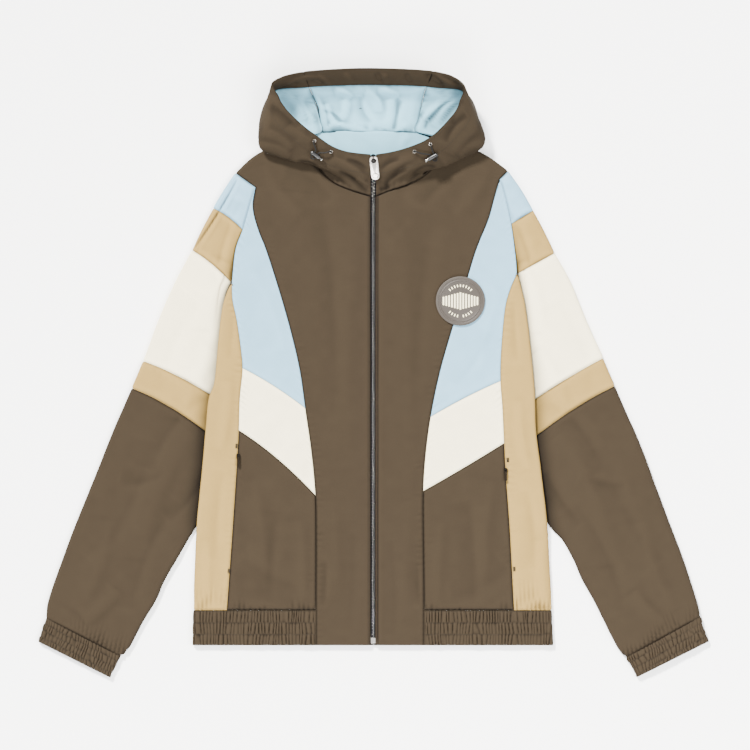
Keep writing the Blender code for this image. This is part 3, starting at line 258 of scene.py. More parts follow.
hoodSections = {   # foot, belly and rim from the zip round to the crown seam, each (across, up, height)
    "r": [
        ((3.85, 628, 7.4), (4, 655, 18), (4, 686, 30)),
        ((30, 636, 7.4), (34, 660, 21), (36, 690, 31)),
        ((55, 647, 7.6), (63, 667, 24), (58, 698, 34)),
        ((76, 665, 8.2), (90, 674, 22), (79, 712, 40)),
        ((89, 680, 8.2), (110, 677, 20), (96, 724, 45)),
        ((95, 693, 8.2), (133, 684, 19), (116, 742, 50)),
        ((98, 706, 8.2), (155, 692, 19), (128, 757, 53)),
        ((73, 718, 2.3), (160, 708, 18), (134, 769, 54)),
        ((75, 735, 0), (154, 740, 15), (142, 785, 51)),
        ((77, 745, 1), (136, 772, 16), (124, 796, 46)),
        ((78, 752, 3), (88, 779, 19), (97, 802, 44)),
    ],
    "l": [
        ((3.85, 628, 7.4), (4, 655, 18), (4, 686, 30)),
        ((26, 637, 7.4), (30, 660, 21), (23, 689, 31)),
        ((50, 645, 7.6), (57, 664, 24), (46, 695, 34)),
        ((73, 660, 8.2), (86, 667, 22), (70, 704, 40)),
        ((87, 677, 8.2), (108, 674, 20), (87, 715, 45)),
        ((94, 692, 8.2), (128, 683, 19), (104, 732, 50)),
        ((98, 706, 8.2), (148, 692, 19), (116, 747, 53)),
        ((60, 718, 2.3), (156, 706, 18), (122, 761, 54)),
        ((63, 735, 0), (147, 729, 15), (128, 781, 51)),
        ((65, 745, 1), (128, 768, 16), (110, 796, 46)),
        ((66, 752, 3), (73, 779, 19), (83, 803, 44)),
    ],
}
crownTop = (-5, 807, 42)
sideNeckPlace, napePlace, crownPlace = 6, 7, 10   # sections at the hood's corners


# curves and grids

def smoothPath(points, repeat=8):
    points = np.array(points, float)
    padded = np.vstack([2 * points[0] - points[1], points, 2 * points[-1] - points[-2]])
    dense = []
    for index in range(len(points) - 1):
        before, start, end, after = padded[index:index + 4]
        for step in range(repeat):
            t = step / repeat
            dense.append(start + 0.5 * t * (end - before + t * (
                2 * before - 5 * start + 4 * end - after + t * (3 * (start - end) + after - before))))
    dense.append(points[-1])
    return np.array(dense)


def lengthsAlong(path):
    return np.concatenate([[0], np.cumsum(np.linalg.norm(np.diff(path, axis=0), axis=1))])


def mixed(at, lengths, values):   # rows of values read at distances along a path
    return np.stack([np.interp(at, lengths, column) for column in np.asarray(values).T], -1)


def alongPath(path, distances):
    return mixed(distances, lengthsAlong(path), path)


def atShares(path, shares):   # points of a path at shares of its length
    return alongPath(path, np.asarray(shares) * lengthsAlong(path)[-1])


def across(points, height):
    path = smoothPath(points)
    order = np.argsort(path[:, 1])
    return np.interp(height, path[order, 1], path[order, 0])


def seamPoints(points, heights):
    return np.stack([across(points, heights), np.asarray(heights, float)], 1)


def ease(value):
    value = np.clip(value, 0, 1)
    return value * value * (3 - 2 * value)


def bowed(start, end, shares, bow):
    shares = np.asarray(shares)[:, None]
    line = np.array(start) + shares * (np.array(end) - np.array(start))
    line[:, 1] += (4 * bow * shares * (1 - shares))[:, 0]
    return line


def coons(bottom, top, left, right, u, v):
    u, v = np.asarray(u)[None, :, None], np.asarray(v)[:, None, None]
    ruled = (1 - v) * bottom[None] + v * top[None] + (1 - u) * left[:, None] + u * right[:, None]
    corners = ((1 - u) * (1 - v) * bottom[0] + u * (1 - v) * bottom[-1]
               + (1 - u) * v * top[0] + u * v * top[-1])
    return ruled - corners


def unit(vectors):
    return vectors / np.maximum(np.linalg.norm(vectors, axis=-1, keepdims=True), 1e-9)


def gridNormals(grid):
    return unit(np.cross(np.gradient(grid, axis=1), np.gradient(grid, axis=0)))


def faced(grid, row, column, axis=2):   # normals that point up the axis at one place
    normals = gridNormals(grid)
    return normals if normals[row, column, axis] > 0 else -normals


def upright(grid, way):   # normals of a cloth that lies flat
    return np.broadcast_to((0.0, 0.0, way), grid.shape)


def spread(length, step=2.8):   # shares across a panel, closer together beside its seams
    close = [0, 0.7, 1.6, 2.8, 4.4]
    if length < 14:
        return np.linspace(0, 1, max(4, round(length / 1.4)) + 1)
    middle = np.linspace(6.6, length - 6.6, max(2, round((length - 13) / step)))
    return np.array(close + list(middle) + [length - far for far in reversed(close)]) / length


# relief: everything that makes cloth lie unevenly, in mm

def drift(x, y, size, seed):   # smooth unevenness between -1 and 1, over lengths of size mm
    table = np.random.default_rng(seed).uniform(-1, 1, (64, 64))
    u, v = x / size + 500, y / size + 500
    column, row = np.floor(u).astype(int), np.floor(v).astype(int)
    fu, fv = ease(u - column), ease(v - row)
    corner = [[table[(column + i) % 64, (row + j) % 64] for j in (0, 1)] for i in (0, 1)]
    return ((corner[0][0] * (1 - fu) + corner[1][0] * fu) * (1 - fv)
            + (corner[0][1] * (1 - fu) + corner[1][1] * fu) * fv)


def creaseField(creases, px, py):   # each crease: x, y, x, y, width, height, bow, in the notes' pixels
    total = np.zeros_like(px)
    for x0, y0, x1, y1, width, height, bow in creases:
        share = np.linspace(0, 1, 15)
        run = np.array([x1 - x0, y1 - y0], float)
        span = np.hypot(*run)
        side = np.array([run[1], -run[0]]) / span
        line = np.array([x0, y0]) + share[:, None] * run + (4 * bow * share * (1 - share))[:, None] * side
        reach = 3.5 * width
        near = ((px > line[:, 0].min() - reach) & (px < line[:, 0].max() + reach)
                & (py > line[:, 1].min() - reach) & (py < line[:, 1].max() + reach))
        if not near.any():
            continue
        points = np.stack([px[near], py[near]], 1)
        best = np.full(len(points), 1e9)
        signed = np.zeros(len(points))
        place = np.zeros(len(points))
        for at in range(len(line) - 1):
            step = line[at + 1] - line[at]
            t = np.clip(((points - line[at]) @ step) / (step @ step), 0, 1)
            offset = points - line[at] - t[:, None] * step
            far = np.hypot(offset[:, 0], offset[:, 1])
            closer = far < best
            best[closer] = far[closer]
            turn = step[0] * offset[:, 1] - step[1] * offset[:, 0]
            signed[closer] = (np.sign(turn) * far)[closer]
            place[closer] = ((at + t) / (len(line) - 1))[closer]
        flank = np.where(signed > 0, 1.9, 0.8) * width
        total[near] += height * np.exp(-(signed / flank) ** 2) * np.sin(pi * np.clip(place, 0, 1)) ** 0.6
    return total


def edgeDistances(grid):
    alongRow = np.linalg.norm(np.diff(grid, axis=1), axis=2)
    alongColumn = np.linalg.norm(np.diff(grid, axis=0), axis=2)
    left = np.concatenate([np.zeros((len(grid), 1)), np.cumsum(alongRow, 1)], 1)
    first = np.concatenate([np.zeros((1, grid.shape[1])), np.cumsum(alongColumn, 0)], 0)
    return {"left": left, "right": left[:, -1:] - left, "first": first, "last": first[-1:] - first}


def pucker(distance, along, pitch, height, reach, seed):   # ripples square to a seam that die away from it
    wander = 2.2 * drift(along, distance, 31, seed)
    strength = 0.55 + 0.45 * drift(along, distance * 0, 23, seed + 1)
    run = reach * (0.65 + 0.5 * drift(along, distance * 0, 14, seed + 2))
    return height * strength * np.cos(2 * pi * along / pitch + wander) * np.exp(-(distance / run) ** 2)


# making meshes

def newObject(name, mesh):
    made = bpy.data.objects.new(name, mesh)
    bpy.context.scene.collection.objects.link(made)
    return made


def clothMesh(name, outer, inner, distances, dark, around):   # two skins of one cloth, joined at its edges
    rows, columns = outer.shape[:2]
    points = np.concatenate([outer.reshape(-1, 3), inner.reshape(-1, 3)])
    points = (points - (0, middleHeight, 0)) * mm
    index = np.arange(rows * columns).reshape(rows, columns)
    if around:   # a ring closes on its first column
        index = np.hstack([index, index[:, :1]])
    under = index + rows * columns
    a, b = index[:-1, :-1].ravel(), index[:-1, 1:].ravel()
    c, d = index[1:, 1:].ravel(), index[1:, :-1].ravel()
    middle = outer[rows // 2, columns // 2] - inner[rows // 2, columns // 2]
    face = np.cross(outer[rows // 2, columns // 2 + 1] - outer[rows // 2, columns // 2],
                    outer[rows // 2 + 1, columns // 2] - outer[rows // 2, columns // 2])
    top = np.stack([a, b, c, d], 1) if face @ middle > 0 else np.stack([a, d, c, b], 1)
    bottom = top[:, ::-1] + rows * columns
    rim = [(index[0, ::-1], under[0, ::-1]), (index[-1], under[-1])]
    if not around:
        rim += [(index[:, 0], under[:, 0]), (index[::-1, -1], under[::-1, -1])]
    sides = np.concatenate([np.stack([up[:-1], up[1:], low[1:], low[:-1]], 1) for up, low in rim])
    if face @ middle < 0:
        sides = sides[:, ::-1]
    faces = np.concatenate([top, bottom, sides])
    mesh = bpy.data.meshes.new(name)
    mesh.from_pydata(points.tolist(), [], faces.tolist())
    flatMap = np.stack([distances["left"], distances["first"]], 2).reshape(-1, 2) * mm
    layer = mesh.uv_layers.new(name="cut")
    corners = np.empty(len(mesh.loops), int)
    mesh.loops.foreach_get("vertex_index", corners)
    places = np.concatenate([flatMap, flatMap])[corners]
    if around:   # the closing column keeps its own place on the map, one width further on
        columnOf = corners % (rows * columns) % columns
        faceOf = np.repeat(np.arange(len(faces)), 4)
        low = np.full(len(faces), 1 << 30)
        high = np.zeros(len(faces), int)
        np.minimum.at(low, faceOf, columnOf)
        np.maximum.at(high, faceOf, columnOf)
        wide = high - low > columns // 2
        places[wide[faceOf] & (columnOf == 0), 0] += around * mm
    layer.data.foreach_set("uv", places.ravel())
    # painted shade for each point, read by the cloth's material
    fold = mesh.attributes.new("fold", "FLOAT", "POINT")
    fold.data.foreach_set("value", np.tile(dark.ravel(), 2).astype(np.float32))
    mesh.validate()
    made = newObject(name, mesh)
    mesh.shade_smooth()
    mesh.set_sharp_from_angle(angle=radians(62))
    return made


def register(made, body, slot, *nodes):
    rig.ride(made, body)
    if nodes:
        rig.replaces(made, *nodes)
    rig.slot(made, slot)
    return made


seam = {"flat": 4, "dip": 1.8, "line": 1.7, "shadow": 7}   # how far a seam tells in the cloth beside it
sheets = []       # name and flat size of every sheet, printed at the end
pieceGrids = {}   # outer skin of every cloth, for the stitches


def cloth(name, node, colour, grid, normals, mirror=1, thick=1.4, relief=None, seamEdges="", closed=False,
          dip=0.9, gathered=1, restsOn=("back",), deepen=0.3, seamShade=0.1, shade=None):
    plain = edgeDistances(grid)
    px = notesCentre + mirror * grid[..., 0] / pixel
    py = notesHem - grid[..., 1] / pixel
    lift = relief(px, py, plain, grid)
    nearest = np.full(grid.shape[:2], 1e3)
    for edge in seamEdges.split():
        nearest = np.minimum(nearest, plain[edge])
    lift = lift * (0.3 + 0.7 * ease(nearest / seam["flat"])) - dip * np.exp(-(nearest / seam["dip"]) ** 2)
    outer = grid + normals * lift[..., None]
    inner = outer - normals * thick
    outer[..., 2] = np.maximum(outer[..., 2], 0)   # no cloth dips into the table
    inner[..., 2] = np.maximum(inner[..., 2], 0)
    level = lift
    for _ in range(12):   # painted shade: what lies below the cloth round it, at the bottoms of creases and gathers, is drawn darker, and each seam gets a painted shadow line
        wide = np.pad(level, 1, mode="edge")
        level = (wide[:-2, 1:-1] + wide[2:, 1:-1] + wide[1:-1, :-2] + wide[1:-1, 2:] + 2 * level) / 6
    dark = (seamShade * (0.35 * np.exp(-nearest / seam["shadow"]) + np.exp(-(nearest / seam["line"]) ** 2))
            + deepen * np.clip((level - lift) / 0.8, -0.15, 1))
    if shade is not None:
        dark = dark + shade(grid)
    around = np.linalg.norm(grid[0, 0] - grid[0, -1]) + plain["left"][0, -1] if closed else 0
    flip = np.array((mirror, 1, 1))
    made = clothMesh(name, outer * flip, inner * flip, plain, dark, around)
    made.data.materials.append(cloths[colour])
    pieceGrids[name] = (outer * flip, normals * flip)
    width = plain["left"].max() * mm * gathered
    length = plain["first"].max() * mm
    cells = np.cross(np.diff(grid, axis=1)[:-1], np.diff(grid, axis=0)[:, :-1])
    area = np.linalg.norm(cells, axis=2).sum() * mm * mm * gathered
    area = min(area, 0.998 * width * length)   # a plain rectangle counts as just under its full size
    register(made, "garment", slots[colour], node)
    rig.sheet(made, flat=(round(width, 4), round(length, 4)), held="laid" if gathered == 1 else "gathered",
             rests_on=list(restsOn), area=round(area, 5))
    sheets.append((name, width, length, area))


# materials

def linear(hexColour):
    channels = [int(hexColour[at:at + 2], 16) / 255 for at in (0, 2, 4)]
    return [c / 12.92 if c < 0.04 else ((c + 0.055) / 1.055) ** 2.4 for c in channels]


def opaque(hexColour):
    return (*linear(hexColour), 1)


def addNode(tree, kind, inputs=None, **settings):
    node = tree.nodes.new("ShaderNode" + kind)
    for name, value in settings.items():
        setattr(node, name, value)
    for key, value in (inputs or {}).items():
        if isinstance(value, bpy.types.NodeSocket):
            tree.links.new(value, node.inputs[key])
        else:
            node.inputs[key].default_value = value
    return node


def startMaterial(name, hexColour, roughness, metallic=0.0, **sockets):
    material = bpy.data.materials.new(name)
    material.use_nodes = True
    shader = material.node_tree.nodes["Principled BSDF"]
    shader.inputs["Base Color"].default_value = opaque(hexColour)
    shader.inputs["Roughness"].default_value = roughness
    shader.inputs["Metallic"].default_value = metallic
    for key, value in sockets.items():
        shader.inputs[key.replace("_", " ")].default_value = value
    material.diffuse_color = opaque(hexColour)
    return material, material.node_tree, shader


def wovenCloth(name, hexColour, thread=0.62, mottle=0.05, slub=0.07, roughness=0.82, sheen=0.05):
    # plain-woven cotton and nylon: a dry matt face with fine threads, drawn about twice as coarse as real
    material, tree, shader = startMaterial(
        name, hexColour, roughness, Sheen_Weight=sheen, Sheen_Roughness=0.45,
        Sheen_Tint=opaque(hexColour), Specular_IOR_Level=0.06)
    place = addNode(tree, "TexCoord")
    onCloth = addNode(tree, "Mapping", {"Vector": place.outputs["UV"], "Scale": (1000, 1000, 1000)})
    bands = 0.314 / thread
    warp = addNode(tree, "TexWave", {"Vector": onCloth.outputs[0], "Scale": bands}, bands_direction="X")
    weft = addNode(tree, "TexWave", {"Vector": onCloth.outputs[0], "Scale": bands}, bands_direction="Y")
    weave = addNode(tree, "Math", {0: warp.outputs["Fac"], 1: weft.outputs["Fac"]}, operation="MULTIPLY")
    stretched = addNode(tree, "Mapping", {"Vector": onCloth.outputs[0], "Scale": (0.9, 0.16, 1)})
    yarns = addNode(tree, "TexNoise", {"Vector": stretched.outputs[0], "Scale": 1.0, "Detail": 3.0})
    crossed = addNode(tree, "Mapping", {"Vector": onCloth.outputs[0], "Scale": (0.13, 1.0, 1)})
    picks = addNode(tree, "TexNoise", {"Vector": crossed.outputs[0], "Scale": 1.0, "Detail": 3.0})
    patches = addNode(tree, "TexNoise", {"Vector": onCloth.outputs[0], "Scale": 0.018, "Detail": 4.0})
    threads = addNode(tree, "Math", {0: yarns.outputs["Fac"], 1: picks.outputs["Fac"]}, operation="ADD")
    fold = addNode(tree, "Attribute", attribute_name="fold")   # painted shade: seams and the bottoms of folds are drawn darker
    tone = addNode(tree, "Math", {0: threads.outputs[0], 1: slub, 2: 1 - slub - mottle / 2},
                   operation="MULTIPLY_ADD")
    tone = addNode(tree, "Math", {0: patches.outputs["Fac"], 1: mottle, 2: tone.outputs[0]},
                   operation="MULTIPLY_ADD")
    tone = addNode(tree, "Math", {0: fold.outputs["Fac"], 1: -1.0, 2: tone.outputs[0]},
                   operation="MULTIPLY_ADD")
    deep = addNode(tree, "Mix", {0: 1.0, 6: opaque(hexColour), 7: tone.outputs[0]},
                   data_type="RGBA", blend_type="MULTIPLY")
    tree.links.new(deep.outputs[2], shader.inputs["Base Color"])
    dry = addNode(tree, "Math", {0: threads.outputs[0], 1: 0.12, 2: roughness - 0.12},
                  operation="MULTIPLY_ADD")
    tree.links.new(dry.outputs[0], shader.inputs["Roughness"])
    fine = addNode(tree, "Bump", {"Height": weave.outputs[0], "Distance": 0.00006, "Strength": 0.6})
    rough = addNode(tree, "Bump", {"Height": threads.outputs[0], "Distance": 0.00022, "Strength": 0.5,
                                   "Normal": fine.outputs[0]})
    tree.links.new(rough.outputs[0], shader.inputs["Normal"])
    return material


cloths = {
    "brown": wovenCloth("brownWovenShell", "282118"),
    "tan": wovenCloth("tanWovenShell", "836B3B"),
    "cream": wovenCloth("creamWovenShell", "DFD4B2", mottle=0.03, slub=0.03),
    "sky": wovenCloth("skyWovenShell", "7397AA", mottle=0.03, slub=0.05),
    "lining": wovenCloth("skyLiningCloth", "76A5B5", mottle=0.04, slub=0.05, roughness=0.7),
    "tape": wovenCloth("blackZipTape", "0C0C0E", thread=0.9, roughness=0.85),
}
slots = {"brown": "shell_brown", "tan": "shell_tan", "cream": "shell_cream", "sky": "shell_sky",
         "lining": "lining", "tape": "zip_tape"}


def satinSkin(name, hexColour, roughness, grain, metallic=0.0, wear=0.16, detail=5.0, pits=0.05, coat=0.0):
    # acetal or rubber from a mould, or plated zinc: a satin skin with a little pitting
    material, tree, shader = startMaterial(name, hexColour, roughness, metallic, Coat_Weight=coat,
                                           Coat_Roughness=0.12)
    place = addNode(tree, "TexCoord")
    skin = addNode(tree, "TexNoise", {"Vector": place.outputs["Object"], "Scale": 1 / (grain * mm),
                                      "Detail": detail})
    worn = addNode(tree, "Math", {0: skin.outputs["Fac"], 1: wear, 2: roughness - wear / 2},
                   operation="MULTIPLY_ADD")
    tree.links.new(worn.outputs[0], shader.inputs["Roughness"])
    bump = addNode(tree, "Bump", {"Height": skin.outputs["Fac"], "Distance": pits * mm, "Strength": 0.4})
    tree.links.new(bump.outputs[0], shader.inputs["Normal"])
    return material


zinc = {"metallic": 1.0, "wear": 0.22, "detail": 4.0, "pits": 0.04}
metals = {
    "teeth": satinSkin("gunmetalZipTeeth", "7C7A76", 0.24, 0.5, **zinc),
    "pull": satinSkin("satinNickelPull", "C9C3BB", 0.28, 0.7, **zinc),
    "eyelet": satinSkin("gunmetalEyelets", "7A756E", 0.25, 0.5, **zinc),
    "black": satinSkin("blackenedSlider", "1B1A19", 0.32, 0.6, **zinc),
    "dark": satinSkin("antiquePocketPull", "28221B", 0.4, 0.6, **zinc),
}
lockPlastic = satinSkin("blackAcetalLock", "0A0909", 0.34, 1.2, coat=0.05)
badgeRubber = satinSkin("brownMouldedRubber", "2A231B", 0.55, 0.6)
badgePrint = satinSkin("creamRubberInlay", "DCD2AE", 0.5, 0.6)


def sewingThread(name, hexColour):   # spun polyester thread with a soft twist
    material, tree, shader = startMaterial(name, hexColour, 0.7, Specular_IOR_Level=0.15)
    place = addNode(tree, "TexCoord")
    twist = addNode(tree, "TexWave", {"Vector": place.outputs["Object"], "Scale": 900.0},
                    bands_direction="DIAGONAL")
    bump = addNode(tree, "Bump", {"Height": twist.outputs["Fac"], "Distance": 0.00005, "Strength": 0.5})
    tree.links.new(bump.outputs[0], shader.inputs["Normal"])
    return material


threads = {"brown": sewingThread("brownThread", "1D1811"), "tan": sewingThread("tanThread", "7E6539"),
           "sky": sewingThread("skyThread", "6F96AA")}


def braid(name, hexColour):   # elastic core in a braided polyester cover
    material, tree, shader = startMaterial(name, hexColour, 0.6, Specular_IOR_Level=0.2)
    place = addNode(tree, "TexCoord")
    leaning = []
    for slant in (1, -1):
        turned = addNode(tree, "Mapping", {"Vector": place.outputs["UV"], "Scale": (6, slant * 2400, 1)})
        strands = addNode(tree, "TexWave", {"Vector": turned.outputs[0], "Scale": 0.32},
                          bands_direction="DIAGONAL")
        leaning.append(strands.outputs["Fac"])
    plait = addNode(tree, "Math", {0: leaning[0], 1: leaning[1]}, operation="MAXIMUM")
    shade = addNode(tree, "Math", {0: plait.outputs[0], 1: 0.6, 2: 0.55}, operation="MULTIPLY_ADD")
    deep = addNode(tree, "Mix", {0: 1.0, 6: opaque(hexColour), 7: shade.outputs[0]},
                   data_type="RGBA", blend_type="MULTIPLY")
    tree.links.new(deep.outputs[2], shader.inputs["Base Color"])
    bump = addNode(tree, "Bump", {"Height": plait.outputs[0], "Distance": 0.00012, "Strength": 0.7})
    tree.links.new(bump.outputs[0], shader.inputs["Normal"])
    return material


cordBraid = braid("brownElasticBraid", "030303")
print("materials ready")


# heights of the laid body

def sleeveUnder(height):
    return ease((height - tuckLow[0]) / tuckLow[1]) * ease((tuckHigh[0] - height) / tuckHigh[1])


def frontTop(side, x, y):
    edge = across(seams[side]["edge"], np.clip(y, 0, 505))
    towardsEdge = ease((x - edge + liftBand) / liftRun)
    return laidHeight + (liftedHeight - laidHeight) * towardsEdge * sleeveUnder(y)


def onFront(side, plan):
    x, y = plan[..., 0], plan[..., 1]
    slopeX = (frontTop(side, x + 1, y) - frontTop(side, x - 1, y)) / 2
    slopeY = (frontTop(side, x, y + 1) - frontTop(side, x, y - 1)) / 2
    normals = unit(np.stack([-slopeX, -slopeY, np.ones_like(slopeX)], -1))
    return np.concatenate([plan, frontTop(side, x, y)[..., None]], -1), normals


def roundEdge(centre, radius, outward, steps=7):   # points of a rolled edge from its top to its underside
    angles = np.linspace(0, pi, steps + 1)[1:]
    return [(centre + outward * radius * sin(a), radius + radius * cos(a)) for a in angles]


# hood shape

def hoodSection(side, place):
    sections = np.array(hoodSections[side], float)
    before = int(min(np.floor(place), len(sections) - 2))
    t = place - before
    picked = [sections[min(max(before + shift, 0), len(sections) - 1)] for shift in (-1, 0, 1, 2)]
    foot, belly, rim = picked[1] + 0.5 * t * (picked[2] - picked[0] + t * (
        2 * picked[0] - 5 * picked[1] + 4 * picked[2] - picked[3]
        + t * (3 * (picked[1] - picked[2]) + picked[3] - picked[0])))
    lead = foot.copy()
    lead[:2] += 0.45 * (belly[:2] - foot[:2])
    atSide = ease(place / 3)
    lead[2] += (0.12 * atSide + 0.45 * (1 - atSide)) * (belly[2] - foot[2])
    upper = rim + 0.45 * (belly - rim) + (0, 0, 0.06 * (rim[2] - belly[2]))
    return smoothPath([foot, lead, belly, upper, rim])


def hoodFrame(side, mirror, place, distance):
    def point(at, far):
        return alongPath(hoodSection(side, at)[::-1], [far])[0] * (mirror, 1, 1)

    origin = point(place, distance)
    along = unit(point(place + 0.2, distance) - point(place - 0.2, distance))
    rimward = unit(point(place, distance - 2) - point(place, distance + 2))
    out = unit(np.cross(along, rimward)) * mirror
    return origin, along, np.cross(out, along) * mirror, out


def blenderPoint(point):
    return Vector(((np.asarray(point, float) - (0, middleHeight, 0)) * mm).tolist())


# drawcords: each runs from one eyelet through the lock and back to the other eyelet

lock = {"radius": 3.2, "length": 14, "holes": (-4.2, 1.6), "hole": 1.25, "bore": 1.85, "boreDepth": 3.1,
        "stem": 1.5, "head": 2.7, "headLength": 2.0, "travel": 2.0}
lockPlaces = {"r": (2.75, 24), "l": (3.15, 25)}
eyeletPlaces = {"r": ((3.05, 8), (2.0, 8)), "l": ((3.35, 8), (2.35, 8))}
cord = {"radius": 0.9, "sides": 14}


def lockFrame(side, mirror):
    origin, along, rimward, out = hoodFrame(side, mirror, *lockPlaces[side])
    return origin + (lock["radius"] + 1.2) * out, rimward, out, -along


def cordRoute(side, mirror):
    (far, _, _, farOut), (near, _, _, nearOut) = (hoodFrame(side, mirror, *place)
                                                  for place in eyeletPlaces[side])
    centre, rimward, out, axis = lockFrame(side, mirror)
    holes = [centre + at * axis for at in lock["holes"]]
    gap = (lock["holes"][1] - lock["holes"][0]) / 2
    middle = centre + (lock["holes"][0] + gap) * axis
    route = [far + 0.5 * farOut, far + 2.2 * farOut, far + 4.2 * farOut - 2.2 * rimward]
    route += [holes[0] + reach * rimward for reach in (6.5, 3.6, 0, -3.6)]
    route += [middle - (4.4 + gap * sin(angle)) * rimward - gap * cos(angle) * axis
              for angle in (pi / 4, pi / 2, 3 * pi / 4)]
    route += [holes[1] + reach * rimward for reach in (-3.6, 0, 3.6, 5.5)]
    bend = 0.5 * (holes[1] + 5.5 * rimward + near + 4.4 * nearOut)
    route += [bend + 0.6 * out, near + 4.2 * nearOut - 2.0 * axis, near + 2.2 * nearOut, near + 0.5 * nearOut]
    path = smoothPath(route)
    total = lengthsAlong(path)[-1]
    return alongPath(path, np.linspace(0, total, round(total / 0.8) + 1)), total


def tube(name, path, radius, sides):   # round cord with its own map: round it, then along it in metres
    tangents = unit(np.gradient(path, axis=0))
    over = np.array([0.0, 0.0, 1.0])
    points = []
    for place, tangent in zip(path, tangents):
        beside = unit(np.cross(tangent, over))
        over = np.cross(beside, tangent)
        for side in range(sides):
            angle = 2 * pi * side / sides
            points.append(place + radius * (cos(angle) * beside + sin(angle) * over))
    faces = [list(range(sides))[::-1], list(range((len(path) - 1) * sides, len(path) * sides))]
    for ring in range(len(path) - 1):
        for side in range(sides):
            beside = (side + 1) % sides
            faces.append([ring * sides + side, ring * sides + beside,
                          (ring + 1) * sides + beside, (ring + 1) * sides + side])
    mesh = bpy.data.meshes.new(name)
    mesh.from_pydata([blenderPoint(point)[:] for point in points], [], faces)
    layer = mesh.uv_layers.new(name="round")
    lengths = lengthsAlong(path) * mm
    for face in mesh.polygons:
        for corner in face.loop_indices:
            vertex = mesh.loops[corner].vertex_index
            around = (vertex % sides) / sides
            if len(face.vertices) == 4 and around == 0 and face.vertices[1] % sides == 0:
                around = 1.0
            layer.data[corner].uv = (around, lengths[vertex // sides])
    made = newObject(name, mesh)
    mesh.shade_smooth()
    return made


cordPieces = {}   # each cord with its path and length, declared at the end
for side, mirror in mirrors.items():
    path, total = cordRoute(side, mirror)
    made = tube("drawcord_" + side, path, cord["radius"], cord["sides"])
    made.data.materials.append(cordBraid)
    cordPieces[side] = (register(made, "garment", "cord", "cord_" + side), path, total)
print("drawcords laid")
